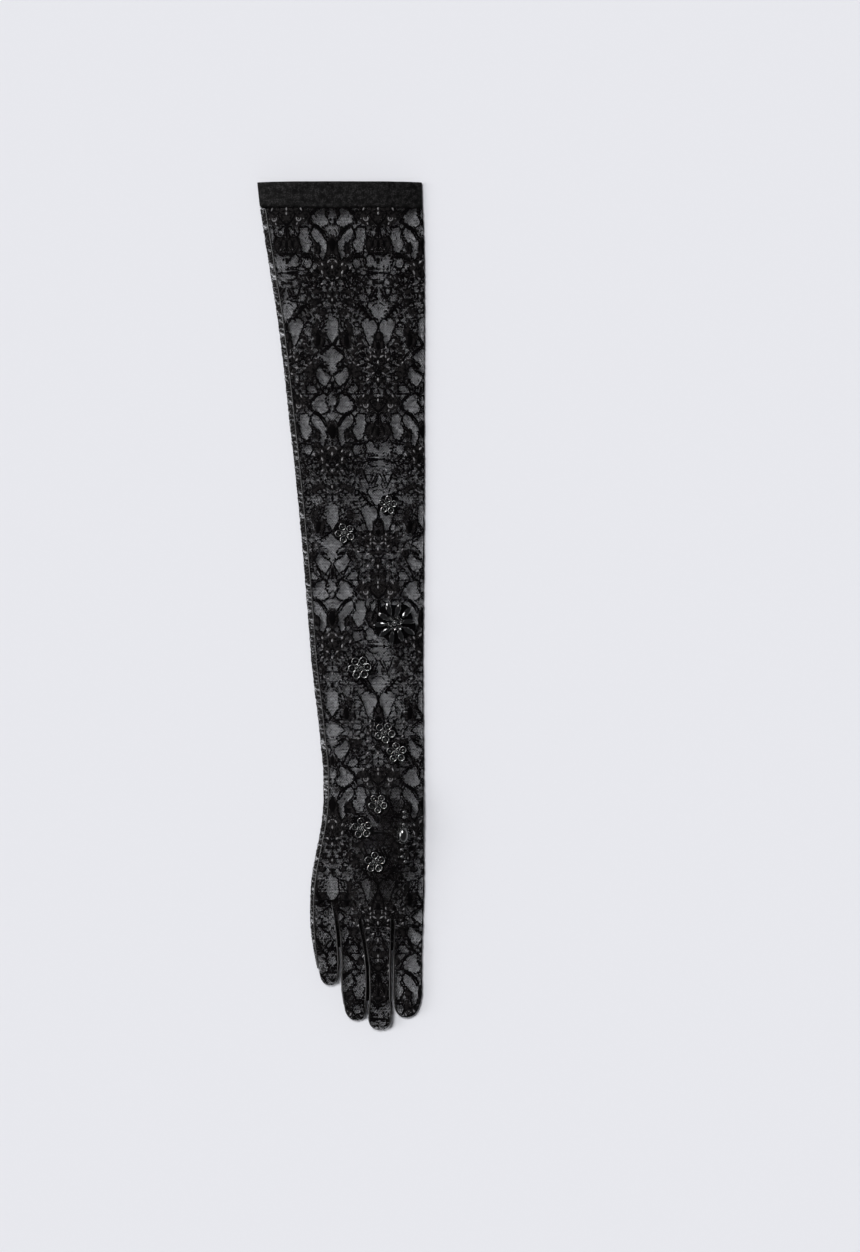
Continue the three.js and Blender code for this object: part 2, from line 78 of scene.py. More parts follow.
bpy.context.scene.view_settings.view_transform = "Standard"
world = bpy.data.worlds.new("world")
bpy.context.scene.world = world
world.use_nodes = True
world_tree = world.node_tree
background = world_tree.nodes["Background"]
background.inputs["Color"].default_value = SKY_COLOUR
outlook = world_tree.nodes.new("ShaderNodeTexCoord")
parts = world_tree.nodes.new("ShaderNodeSeparateXYZ")
level = world_tree.nodes.new("ShaderNodeMapRange")
for key, value in zip(("From Min", "From Max", "To Min", "To Max"), (*HORIZON_BAND, HORIZON, OVERHEAD)):
    level.inputs[key].default_value = value
world_tree.links.new(outlook.outputs["Generated"], parts.inputs[0])
world_tree.links.new(parts.outputs["Z"], level.inputs["Value"])
world_tree.links.new(level.outputs["Result"], background.inputs["Strength"])
for lamp_name, stand, breadth, strength in LAMPS:
    lamp_data = bpy.data.lights.new(lamp_name, "SUN")
    lamp_data.angle = math.radians(breadth)
    lamp_data.energy = strength
    lamp = bpy.data.objects.new(lamp_name, lamp_data)
    lamp.rotation_euler = (-Vector(stand)).to_track_quat("-Z", "Y").to_euler()
    bpy.context.scene.collection.objects.link(lamp)


# Small helpers for shader nodes

class Nodes:
    """Builds a node tree in few words."""

    def __init__(self, name):
        self.material = bpy.data.materials.new(name)
        self.material.use_nodes = True
        self.tree = self.material.node_tree
        self.shader = self.tree.nodes["Principled BSDF"]

    def add(self, kind, inputs=(), **settings):
        """A node of that kind, with its inputs linked or set."""
        node = self.tree.nodes.new(kind)
        for key, value in settings.items():
            setattr(node, key, value)
        for key, value in dict(inputs).items():
            if isinstance(value, bpy.types.NodeSocket):
                self.tree.links.new(value, node.inputs[key])
            else:
                node.inputs[key].default_value = value
        return node

    def math(self, operation, a, b=None, clamp=False):
        """One step of arithmetic on sockets or numbers."""
        inputs = {0: a} if b is None else {0: a, 1: b}
        return self.add("ShaderNodeMath", inputs, operation=operation, use_clamp=clamp).outputs[0]

    def combine(self, operation, a, b):
        """Two vectors added, subtracted or wrapped."""
        return self.add("ShaderNodeVectorMath", {0: a, 1: b}, operation=operation).outputs[0]

    def scaled(self, vector, factor):
        """A vector times a number."""
        return self.add("ShaderNodeVectorMath", {0: vector, "Scale": factor}, operation="SCALE").outputs[0]

    def noise(self, vector, scale, detail, output=0, **more):
        """Noise: output 0 is a value and 1 a colour."""
        inputs = {"Vector": vector, "Scale": scale, "Detail": detail, **more}
        return self.add("ShaderNodeTexNoise", inputs).outputs[output]

    def wandering(self, vector, scale, reach):
        """A vector moved about by noise, so that a pattern on it is less regular."""
        return self.combine("ADD", vector, self.scaled(self.noise(vector, scale, 1.0, 1), reach))

    def link(self, source, key):
        """Drives one input of the surface by a socket."""
        self.tree.links.new(source, self.shader.inputs[key])

    def mix(self, factor, low, high):
        """A colour between two, by a factor socket. Each is a colour or a socket."""
        low, high = (c if isinstance(c, bpy.types.NodeSocket) else (*c, 1) for c in (low, high))
        return self.add("ShaderNodeMix", {0: factor, 6: low, 7: high}, data_type="RGBA").outputs[2]

    def shades(self, factor, colour, low, high):
        """From low to high times a colour, by a factor socket."""
        return self.mix(factor, [c * low for c in colour], [c * high for c in colour])

    def ramp(self, factor, low, high):
        """0 below low and 1 above high, smooth between."""
        node = self.add("ShaderNodeMapRange", {0: factor, 1: low, 2: high}, interpolation_type="SMOOTHSTEP")
        return node.outputs[0]

    def finish(self, roughness, gloss, bump=None):
        """The finished material. bump is the relief's strength, depth in metres and height socket."""
        if bump is not None:
            relief = self.add("ShaderNodeBump", dict(zip(("Strength", "Distance", "Height"), bump)))
            self.link(relief.outputs[0], "Normal")
        self.shader.inputs["Roughness"].default_value = roughness
        self.shader.inputs["Specular IOR Level"].default_value = gloss
        return self.material


def hex_edge(n, vector, pitch):
    """Distance from the walls of a honeycomb of that pitch, in pitches: 0 on a wall and 0.5 in the middle."""
    root = math.sqrt(3)
    scaled = n.scaled(vector, 1 / pitch)
    found = []
    for shift in ((0, 0, 0), (0.5, root / 2, 0)):
        # Modulo keeps the sign, so the pattern is only asked for where both coordinates are positive
        wrapped = n.combine("MODULO", n.combine("ADD", scaled, shift), (1, root, 1))
        centred = n.combine("SUBTRACT", wrapped, (0.5, root / 2, 0))
        x, y = (n.math("ABSOLUTE", part) for part in n.add("ShaderNodeSeparateXYZ", {0: centred}).outputs[:2])
        slanted = n.math("ADD", n.math("MULTIPLY", x, 0.5), n.math("MULTIPLY", y, root / 2))
        found.append(n.math("MAXIMUM", x, slanted))
    return n.math("SUBTRACT", 0.5, n.math("MINIMUM", *found))


# Materials

BLACK_THREAD = (0.0017, 0.0015, 0.0017)
GREY_THREAD = (0.0115, 0.0104, 0.0106)
# Pale grey of the silk thread: a painted glint, lighter than the black thread so that its shapes look lit by
# their sheen
SILK_PAINTED_GLINT = (0.1, 0.096, 0.1)
SEAM_GREY = (0.013, 0.0125, 0.013)
BAND_TONES = (0.0005, 0.0005, 0.0005), (0.0300, 0.0285, 0.0295)
FLOOR_TONES = (0.780, 0.785, 0.822), (0.786, 0.791, 0.828)
PATCHY = 0.4
THREAD_EDGE = 0.04
NET_WANDER = 0.9
WEAR = 0.08
PANE_SIZE = 4.4
PANE_WANDER = 3.2
PANE_BORDER = (0.05, 0.1)
PANE_RANGE = 0.2
PANE_OPENNESS = 0.92
RAGGED = 0.45
WORKED_FROM = (0.07, 0.12)


def panes(n, weave):
    """Weave of the worked lace, mirrored as the lace is, and where its black lines are. The ground has small
    panes of odd shapes with black lines between them: the denser the cloth, the fewer are open."""
    mirrored = n.add("ShaderNodeUVMap", uv_map="chart").outputs[0]
    cells = {"Vector": n.wandering(mirrored, 0.5, PANE_WANDER), "Scale": 1 / PANE_SIZE}
    colour = n.add("ShaderNodeTexVoronoi", cells).outputs["Color"]
    chance = n.add("ShaderNodeSeparateXYZ", {0: colour}).outputs[0]
    border = n.add("ShaderNodeTexVoronoi", cells, feature="DISTANCE_TO_EDGE").outputs["Distance"]
    inside = n.ramp(border, *PANE_BORDER)
    open_pane = n.ramp(n.math("SUBTRACT", chance, weave), -PANE_RANGE, PANE_RANGE)
    openness = n.math("MULTIPLY", open_pane, inside)
    ground = n.math("SUBTRACT", 1.0, n.math("MULTIPLY", openness, PANE_OPENNESS))
    ragged = n.math("MULTIPLY", n.math("SUBTRACT", n.noise(mirrored, 0.8, 0.0), 0.5), RAGGED)
    worked = n.ramp(n.math("ADD", weave, ragged), *WORKED_FROM)
    return n.math("MULTIPLY", ground, worked), n.math("MULTIPLY", n.math("SUBTRACT", 1.0, inside), worked)


def net_material(name, pitch, thin, dense, colour, worked=False):
    """Net as a honeycomb of threads with open holes. thin and dense are half the thread's width, in pitches,
    where the cloth's weave value is 0 and 1. Worked is the lace, whose ground has panes with black lines."""
    n = Nodes(name)
    place = n.add("ShaderNodeUVMap", uv_map="cloth").outputs[0]
    edge = hex_edge(n, n.wandering(place, 0.35, NET_WANDER), pitch)
    weave = n.add("ShaderNodeAttribute", attribute_name="weave").outputs["Fac"]
    if worked:
        weave, black = panes(n, weave)
    patchy = n.math("SUBTRACT", n.noise(place, 0.45, 4.0, Roughness=0.65), 0.5)
    half = n.math("ADD", n.math("MULTIPLY", weave, dense - thin), thin)
    half = n.math("ADD", half, n.math("MULTIPLY", patchy, PATCHY))
    cover = n.math("SUBTRACT", n.math("ADD", half, THREAD_EDGE / 2), edge)
    cover = n.math("DIVIDE", cover, THREAD_EDGE, clamp=True)
    n.link(cover, "Alpha")
    tone = n.shades(n.noise(place, 2.2, 3.0), colour, 0.7, 1.3)
    if worked:
        tone = n.mix(black, tone, BLACK_THREAD)
    n.link(tone, "Base Color")
    return n.finish(0.75, 0.04, bump=(0.5, 0.0002, cover))


def thread_material(name, colour, roughness=0.6, ridges=2.6, gloss=0.01):
    """Embroidery thread: fine stitches across the motifs, with a slight silk sheen."""
    n = Nodes(name)
    place = n.scaled(n.add("ShaderNodeTexCoord").outputs["Object"], 1 / MM)
    n.link(n.shades(n.noise(place, 0.5, 2.0), colour, 0.6, 1.5), "Base Color")
    wave = {"Vector": place, "Scale": ridges / 6, "Distortion": 3.0, "Detail": 2.0, "Detail Scale": 1.2}
    ridge = n.add("ShaderNodeTexWave", wave, wave_type="BANDS", bands_direction="DIAGONAL")
    return n.finish(roughness, gloss, bump=(0.45, 0.00012, ridge.outputs["Fac"]))


def band_material(name):
    """The opaque hem band: black cloth with the faint mottled face of lace under it."""
    n = Nodes(name)
    place = n.add("ShaderNodeUVMap", uv_map="cloth").outputs[0]
    mottle = n.noise(place, 0.28, 4.0, Roughness=0.65)
    cells = n.add("ShaderNodeTexVoronoi", {"Vector": place, "Scale": 0.8}, feature="DISTANCE_TO_EDGE")
    line = n.ramp(cells.outputs["Distance"], 0.02, 0.2)
    n.link(n.mix(n.math("MULTIPLY", n.ramp(mottle, 0.35, 0.7), line), *BAND_TONES), "Base Color")
    height = n.math("ADD", mottle, n.math("MULTIPLY", line, 0.5))
    return n.finish(0.62, 0.08, bump=(0.6, 0.0003, height))


def jet_material(name, roughness, tint, ior, shine):
    """Polished black glass, with faint wear."""
    n = Nodes(name)
    worn = n.noise(n.add("ShaderNodeTexCoord").outputs["Object"], 900.0, 2.0)
    n.link(n.shades(worn, tint, 0.6, 1.4), "Base Color")
    n.link(n.math("ADD", n.math("MULTIPLY", worn, WEAR), roughness - WEAR / 2), "Roughness")
    n.shader.inputs["IOR"].default_value = ior
    n.shader.inputs["Specular IOR Level"].default_value = shine
    return n.material


def floor_material():
    """Pale paper with the faintest grain."""
    n = Nodes("floor")
    grain = n.noise(n.add("ShaderNodeTexCoord").outputs["Object"], 300.0, 2.0)
    n.link(n.mix(grain, *FLOOR_TONES), "Base Color")
    return n.finish(0.95, 0.0)


lace_net = net_material("lace_net", 1.25, 0.096, 0.33, GREY_THREAD, worked=True)
plain_net = net_material("plain_net", 1.2, 0.22, 0.49, GREY_THREAD)
lace_thread = thread_material("lace_thread", BLACK_THREAD)
# The silk thread has real gloss, and its pale base colour is a painted glint on top of that
silk_painted_glints = thread_material("silk_painted_glints", SILK_PAINTED_GLINT, roughness=0.36, gloss=1.0)
seam_thread = thread_material("seam_thread", SEAM_GREY, 0.3, 4.0, gloss=0.9)
band_cloth = band_material("band_cloth")
jet = jet_material("jet", 0.1, (0.002, 0.002, 0.0022), 1.7, 0.9)
jet_stone = jet_material("jet_stone", 0.05, (0.003, 0.003, 0.0034), 1.6, 0.8)
sequin = jet_material("sequin", 0.15, (0.001, 0.001, 0.0011), 1.5, 0.3)
sequin_lip = jet_material("sequin_lip", 0.2, (0.002, 0.002, 0.0022), 2.25, 1.0)


# Meshes

def piece(name, points, faces, material, nodes=(), smooth=True, uv=None, chart_uv=None, weave=None):
    """A new object from points in mm, in place of some CAD nodes. uv, chart_uv and weave
    are one value a point."""
    mesh = bpy.data.meshes.new(name)
    mesh.from_pydata((np.asarray(points, float) * MM).tolist(), [], [list(map(int, f)) for f in faces])
    corner = np.zeros(len(mesh.loops), np.int32)
    mesh.loops.foreach_get("vertex_index", corner)
    for layer_name, values in (("cloth", uv), ("chart", chart_uv)):
        if values is not None:
            layer = mesh.uv_layers.new(name=layer_name)
            layer.data.foreach_set("uv", np.asarray(values, np.float32)[corner].ravel())
    if weave is not None:
        attribute = mesh.attributes.new("weave", "FLOAT", "POINT")
        attribute.data.foreach_set("value", np.asarray(weave, np.float32))
    mesh.polygons.foreach_set("use_smooth", [smooth] * len(mesh.polygons))
    mesh.materials.append(material)
    mesh.update()
    made = bpy.data.objects.new(name, mesh)
    bpy.context.scene.collection.objects.link(made)
    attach(made, "root")
    if nodes:
        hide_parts(*nodes)
    return made


FLOOR_SIZE = 6
floor_mesh = bpy.data.meshes.new("floor")
floor_mesh.from_pydata([(x * FLOOR_SIZE, y * FLOOR_SIZE, 0) for x, y in ((-1, -1), (1, -1), (1, 1), (-1, 1))],
                       [], [(0, 1, 2, 3)])
floor_mesh.materials.append(floor_material())
floor = bpy.data.objects.new("floor", floor_mesh)
bpy.context.scene.collection.objects.link(floor)


# Small helpers for meshes

LEFTWARD, BACKWARD = (0, 3, 2, 1), (3, 2, 1, 0)


def grid_faces(rows, columns, base=0, around=False, along=False, order=(0, 1, 2, 3)):
    """Faces of a grid of points numbered row by row. Around joins the ends of each row, and along joins the
    last row to the first. Order is the order of each face's corners."""
    faces = []
    for i in range(rows if along else rows - 1):
        a, b = base + i * columns, base + (i + 1) % rows * columns
        for j in range(columns if around else columns - 1):
            k = (j + 1) % columns
            corners = (a + j, a + k, b + k, b + j)
            faces.append(tuple(corners[i] for i in order))
    return faces


def fan(sides):
    """Faces from point 0 to a ring of points after it."""
    return [(0, 1 + i, 1 + (i + 1) % sides) for i in range(sides)]


def turns(count):
    """That many angles round a circle, in radians."""
    return [2 * math.pi * i / count for i in range(count)]


def at_angle(x, y, radius, degrees):
    """The point at a distance and an angle from another."""
    return x + radius * math.cos(math.radians(degrees)), y + radius * math.sin(math.radians(degrees))


# Cross-sections of the CAD cloth, in mm

def triangles_of(*names):
    """The triangles of some CAD nodes as an array (n, 3, 3)."""
    found = []
    for name in names:
        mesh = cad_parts[name].data
        mesh.calc_loop_triangles()
        points = np.zeros(len(mesh.vertices) * 3)
        mesh.vertices.foreach_get("co", points)
        corners = np.zeros(len(mesh.loop_triangles) * 3, np.int32)
        mesh.loop_triangles.foreach_get("vertices", corners)
        found.append(points.reshape(-1, 3)[corners.reshape(-1, 3)])
    return np.concatenate(found) / MM


def section(triangles, y):
    """Segments (n, 2, 2) in x and z where the plane at y cuts the triangles."""
    below = triangles[:, :, 1] < y
    cut = triangles[below.any(1) & ~below.all(1)]
    side = cut[:, :, 1] < y
    alone = np.where(side.sum(1) == 1, side.argmax(1), (~side).argmax(1))
    rows = np.arange(len(cut))
    start = cut[rows, alone]
    ends = []
    for step in (1, 2):
        end = cut[rows, (alone + step) % 3]
        share = (y - start[:, 1]) / (end[:, 1] - start[:, 1])
        ends.append(start + (end - start) * share[:, None])
    return np.stack(ends, 1)[:, :, [0, 2]]


def heights(segments, xs):
    """Lowest and highest z of a section at each x."""
    run = segments[:, 1, 0] - segments[:, 0, 0]
    run = np.where(np.abs(run) < 1e-6, 1e-6, run)
    share = (xs[:, None] - segments[:, 0, 0]) / run
    z = segments[:, 0, 1] + share * (segments[:, 1, 1] - segments[:, 0, 1])
    inside = (share >= 0) & (share <= 1)
    return np.where(inside, z, 1e3).min(1), np.where(inside, z, -1e3).max(1)


COLUMNS = 104
BACK_INSET = 0.2
PALM_LIFT = 0.5
NOSE = 1.5
BRIDGED = 1.6
CALM_EDGE = 9
LEAST_GAP = 0.4
across = 0.5 - 0.5 * np.cos(np.linspace(0, math.pi, COLUMNS + 1))
across = 0.45 * across + 0.55 * np.linspace(0, 1, COLUMNS + 1)


def smoothed(values, times):
    """Each row and column eased towards its neighbours, with the borders kept."""
    values = values.copy()
    for _ in range(times):
        values[1:-1] = 0.25 * (values[:-2] + values[2:]) + 0.5 * values[1:-1]
        values[:, 1:-1] = 0.25 * (values[:, :-2] + values[:, 2:]) + 0.5 * values[:, 1:-1]
    return values


class Field:
    """Back and palm heights of a stretch of the glove over its plan, from edge to edge at rows along y."""

    def __init__(self, nodes, ys, within, hole=None):
        """ys are the rows; each section is cut within the given range of y, clear of the nodes' own ends.
        hole is the thumb hole's centre and half sizes. Only the back is met there, so the palm is bridged."""
        triangles = triangles_of(*nodes)
        self.y = np.array(ys, float)
        self.left, self.right, self.back, self.palm = [], [], [], []
        for y in np.clip(self.y, *within):
            cut = section(triangles, y)
            left, right = cut[:, :, 0].min(), cut[:, :, 0].max()
            xs = left + (right - left) * np.clip(across, 0.004, 0.996)
            low, high = heights(cut, xs)
            if hole is not None:
                hole_x, hole_y, half_width, half_length = hole
                near = (np.abs(xs - hole_x) < half_width) & (abs(y - hole_y) < half_length)
                missing = (high - low < BRIDGED) & near
                low[missing] = np.interp(xs[missing], xs[~missing], low[~missing])
            self.left.append(left)
            self.right.append(right)
            self.back.append(high)
            self.palm.append(low)
        self.left, self.right = np.array(self.left), np.array(self.right)
        self.back, self.palm = np.array(self.back), np.array(self.palm)

    def finish(self, ripple=0.0):
        """Eases the facets, sets the cloth inside the solid, and closes both edges with a round nose."""
        self.back = smoothed(self.back, 4) - BACK_INSET
        self.palm = smoothed(self.palm, 4) + PALM_LIFT
        x = self.left[:, None] + (self.right - self.left)[:, None] * across
        y = self.y[:, None] + 0 * x
        inside = np.minimum(across, 1 - across) * (self.right - self.left)[:, None]
        calm = np.clip(inside / CALM_EDGE, 0, 1)
        wave = (np.sin(x * 0.21 + y * 0.095 + 1.3) * np.sin(y * 0.148 - x * 0.07)
                + 0.6 * np.sin(y * 0.31 + x * 0.16 + 0.4) * np.sin(x * 0.36 - 0.9)
                + 0.4 * np.sin(y * 0.58 + 2 * np.sin(x * 0.12)))
        self.back += ripple * wave * calm
        self.palm += 0.3 * ripple * np.abs(wave) * calm
        gap = np.maximum(self.back - self.palm, LEAST_GAP)
        middle = (self.back + self.palm) / 2
        share = np.clip(inside / NOSE, 0, 1)
        round_off = np.sqrt(np.maximum(1 - (1 - share) ** 2, 0))
        self.back = middle + gap / 2 * round_off
        self.palm = middle - gap / 2 * round_off
        return self

    def edges(self, y):
        """Left and right edge at rows of y."""
        order = np.argsort(self.y)
        return np.interp(y, self.y[order], self.left[order]), np.interp(y, self.y[order], self.right[order])

    def height(self, x, y, side):
        """Height of the back (side 1) or palm (side -1) at points of the plan."""
        order = np.argsort(self.y)
        rows = self.y[order]
        grid = (self.back if side > 0 else self.palm)[order]
        left, right = self.edges(y)
        t = np.clip((x - left) / np.maximum(right - left, 1e-6), 0, 1)
        i = np.clip(np.searchsorted(rows, y) - 1, 0, len(rows) - 2)
        u = np.clip((y - rows[i]) / (rows[i + 1] - rows[i]), 0, 1)
        j = np.clip(np.searchsorted(across, t) - 1, 0, COLUMNS - 1)
        w = (t - across[j]) / (across[j + 1] - across[j])
        low = grid[i, j] * (1 - w) + grid[i, j + 1] * w
        high = grid[i + 1, j] * (1 - w) + grid[i + 1, j + 1] * w
        return low * (1 - u) + high * u


def rows_between(start, end, step):
    """Rows from start to end, no further apart than about a step."""
    return np.linspace(start, end, max(2, int(abs(end - start) / step) + 1))


HEM_TOP = 318.2
BODY_TOP = 317.9
HEM_LOW = 299.35
CROTCH = -221.15
KNUCKLES = -233.65
WRIST = -119.15
ROW_STEP = 1.2
BODY_RIPPLE = 0.28
# Centre x and y, half width and half length
THUMB_HOLE = (37.2, -172, 11, 26)
END_GAP = 0.25
body_rows = np.concatenate([rows_between(BODY_TOP, HEM_LOW + END_GAP, ROW_STEP),
                            rows_between(HEM_LOW - END_GAP, WRIST + END_GAP, ROW_STEP),
                            rows_between(WRIST - END_GAP, CROTCH, ROW_STEP)])
body = Field(["hem_band", "sleeve", "hand"], body_rows, (CROTCH + 0.1, 318), hole=THUMB_HOLE)
body = body.finish(ripple=BODY_RIPPLE)
strip = Field(["hand"], rows_between(CROTCH, KNUCKLES, ROW_STEP), (KNUCKLES + END_GAP, CROTCH - 0.05))


def joined(field, before, length=10):
    """Brings the first rows of a stretch to the heights of the one before it."""
    xs = field.left[:, None] + (field.right - field.left)[:, None] * across
    edge_y = np.full(xs[0].shape, before.y[-1])
    for i, y in enumerate(field.y):
        share = np.clip(abs(field.y[0] - y) / length, 0, 1)
        share = share * share * (3 - 2 * share)
        if share < 1:
            for side, grid in ((1, field.back), (-1, field.palm)):
                start = before.height(xs[i], edge_y, side)
                grid[i] = start * (1 - share) + grid[i] * share
    return field


strip = joined(strip.finish(ripple=BODY_RIPPLE), body, 8)

ROUNDNESS, DEPTH_ROUNDNESS = 2.3, 2.2
STRAIGHT_ROWS = 6


def rounded_end(field, tip, reach):
    """Rounds the outline and the depth of a finger's end, over reach mm from its tip."""
    far = np.abs(field.y - tip)
    inner = far >= reach
    order = np.argsort(field.y[inner])
    pick = slice(0, STRAIGHT_ROWS) if tip < field.y[inner].mean() else slice(-STRAIGHT_ROWS, None)
    ys = field.y[inner][order][pick]
    centre_line = np.polyfit(ys, ((field.left + field.right)[inner][order] / 2)[pick], 1)
    half_line = np.polyfit(ys, ((field.right - field.left)[inner][order] / 2)[pick], 1)
    for i in np.flatnonzero(~inner):
        share = far[i] / reach
        swell = max(1 - (1 - share) ** ROUNDNESS, 0.0004) ** (1 / ROUNDNESS)
        middle = np.polyval(centre_line, field.y[i])
        width = np.polyval(half_line, field.y[i]) * swell
        field.left[i], field.right[i] = middle - width, middle + width
        depth = max(1 - (1 - share) ** DEPTH_ROUNDNESS, 0.0025) ** 0.5
        centre_z = (field.back[i] + field.palm[i]) / 2
        gap = (field.back[i] - field.palm[i]) / 2 * depth
        field.back[i], field.palm[i] = centre_z + gap, centre_z - gap
    return field


def finger_rows(start, tip, reach):
    """Rows down a finger, closer together where its end is rounded."""
    bend = tip + reach * (1 if tip < start else -1)
    ends = bend + (tip - bend) * np.sin(np.linspace(0, math.pi / 2, 12))
    return np.concatenate([rows_between(start, bend, ROW_STEP), ends[1:]])


FINGERS = {
    # node: first row, tip, length of the rounded end
    "finger_index": (KNUCKLES, -308.6, 9.5),
    "finger_middle": (KNUCKLES, -318.0, 9.5),
    "finger_ring": (KNUCKLES, -310.8, 9.0),
    "finger_little": (CROTCH, -284.4, 8.0),
}
TIP_MARGIN = 0.4
fields = {}
for finger, (first, tip, reach) in FINGERS.items():
    found = Field([finger], finger_rows(first, tip, reach), (tip + TIP_MARGIN, first - END_GAP))
    found = rounded_end(found.finish(ripple=0.22), tip + 0.05, reach)
    fields[finger] = joined(found, body if finger == "finger_little" else strip)

THUMB_TOP, THUMB_MIDDLE, THUMB_TIP = -143.4, -190, -238.6
THUMB_TOP_REACH, THUMB_TIP_REACH = 34, 8.5
thumb_low = finger_rows(THUMB_MIDDLE, THUMB_TIP, THUMB_TIP_REACH)
thumb_high = finger_rows(THUMB_MIDDLE, THUMB_TOP, THUMB_TOP_REACH)[::-1]
thumb_rows = np.concatenate([thumb_high, thumb_low[1:]])
thumb = Field(["thumb"], thumb_rows, (THUMB_TIP + TIP_MARGIN, THUMB_TOP - TIP_MARGIN)).finish(ripple=0.2)
thumb = rounded_end(rounded_end(thumb, THUMB_TIP, THUMB_TIP_REACH), THUMB_TOP, THUMB_TOP_REACH)


# Where a point of the lace lies in its repeat

FOLD_AXIS = 62.5
HALF_REPEAT = 34.4
REPEAT = 140.0
REPEAT_START = 174.6

# Open net between the motifs: outlines of (b, v), with b from the fold's mirror axis. One that starts and
# ends on a mirror axis is completed by its mirror image
WINDOWS = [
    [(10, -6.4), (14.2, -1), (12, 2.8), (10.4, 6), (7.6, 8.8), (5, 9.6), (2.6, 7), (0.7, 2.2), (3, -0.4),
     (6.6, -2.4)],
    [(5, 9.8), (7.2, 13), (6, 14.6), (3.4, 14.6), (3, 12.4)],
    [(16.2, 5.6), (19, 9), (19.8, 15), (14, 15), (9.8, 14), (12.2, 10.6)],
    [(0, 15.6), (1.6, 16.6), (3.1, 16.8), (3.6, 19.5), (3.2, 22), (1.8, 24.4), (1.2, 27), (0, 29)],
    [(4.4, 15.6), (7, 14.4), (9.4, 15.6), (12, 16.6), (13.6, 19), (16.4, 21.6), (15.6, 24.2), (15.4, 27.2),
     (12.4, 28.4), (10.2, 29.4), (8, 30.8), (6, 29.8), (4.2, 28.6), (2.2, 27.4), (2.6, 25), (4.4, 22.6),
     (5.2, 20), (4.7, 17.6)],
    [(8.6, 33.2), (11.5, 31), (14.6, 29.6), (15.8, 32), (16.6, 35.2), (14.8, 38.4), (13, 41), (11.2, 43),
     (9.4, 44.6), (9.4, 47.4), (10.4, 49.8), (9.2, 53), (7.2, 55.4), (5, 51.5), (3.8, 47), (3.2, 43),
     (4.2, 39.6), (6.6, 37)],
    [(17.2, 31.6), (19.4, 29.2), (22, 29.9), (24.8, 29.6), (24.8, 33), (25.2, 36), (26.8, 38.4), (25.4, 41),
     (24, 43.6), (23.6, 47), (21.6, 49.4), (18.8, 50.2), (16.8, 48.6), (16.2, 45.6), (14.4, 43.4), (15.6, 40),
     (17.8, 36.8), (16.8, 34)],
    [(28, 32), (30.5, 31), (32, 29), (33.4, 30.5), (32.6, 34), (32.2, 38), (31.6, 40), (30.6, 37),
     (28.8, 35.4)],
    [(34.4, 57.4), (33.2, 56.2), (31.4, 53.4), (30, 50.2), (27.4, 49.6), (26.2, 51.6), (24.4, 53.4),
     (25.6, 56), (24.6, 58.6), (27, 60.4), (30.4, 60), (34.4, 60.8)],
    [(15.2, 53), (18.6, 53.4), (21, 52), (23.6, 52), (23.4, 55.5), (24.2, 59.2), (20, 60.6), (16.4, 61),
     (14.8, 57)],
    [(34.4, 61.8), (31, 61.2), (26.2, 61.8), (26.6, 63.8), (30, 63.4), (34.4, 64)],
    [(34.4, 65), (30, 65.2), (26.5, 66.8), (28, 69), (31, 69.6), (34.4, 69.4)],
    [(25.6, 75.4), (30, 76.2), (29.4, 79), (27, 82.4), (25.6, 80), (24.8, 77)],
    [(34.4, 76.6), (33.2, 79), (32.2, 82.6), (34.4, 83.6)],
    [(34.4, 84), (31, 85), (27.4, 86), (25.6, 89), (28, 92), (29.4, 95), (31.4, 98.2), (34.4, 99.6)],
    [(22, 100), (25.5, 97.8), (30, 98.4), (33.2, 101), (34, 105), (33.2, 109), (31.4, 112), (30.8, 115.5),
     (30.6, 120), (27, 118), (25, 114), (24, 110), (22.6, 106.4), (21.2, 103.2)],
    [(15.6, 101.5), (18, 100.8), (21, 103), (22, 105.6), (19.4, 104.8), (16.6, 104.6)],
    [(6, 99.5), (8.2, 100), (9, 103), (10.4, 107), (12.6, 112), (10.4, 110), (8.6, 107), (6.4, 103.6)],
    [(0, 96.8), (3.2, 97.8), (5, 100.4), (4.8, 105), (5.4, 109.8), (3.8, 113), (2.8, 116), (0, 117)],
    [(2, 118), (3.5, 114.5), (6, 113.5), (5.6, 116.5), (7.4, 119.6), (4, 119.4)],
    [(0, 120.6), (2.6, 121.4), (5.4, 123.8), (8.6, 126.4), (9.8, 127.8), (7.6, 129), (5.4, 131.2),
     (3.6, 132.8), (3, 134.2), (5.6, 137), (2.6, 139.2), (0, 140)],
    [(20, 130), (22.4, 128), (24.6, 131), (24.4, 134), (20.4, 134.4)],
    [(22.2, 119.8), (23.2, 120.4), (23.6, 124), (24, 127), (22.6, 127.4), (22.2, 123.6)],
    [(8.6, 69), (10.6, 70), (11.2, 73), (12.6, 75), (10.6, 75.8), (9.2, 73)],
    [(10, 63.2), (13.6, 62.4), (13.6, 64.6), (10.2, 65.2)],
    [(7, 88.6), (9.5, 86.2), (12.4, 88.6), (9.8, 90.4)],
    [(17, 87.2), (19.6, 88.2), (19.2, 91), (17.2, 91.8)],
    [(22, 88.6), (23.2, 88.8), (26, 93.6), (24.6, 94.4)],
]

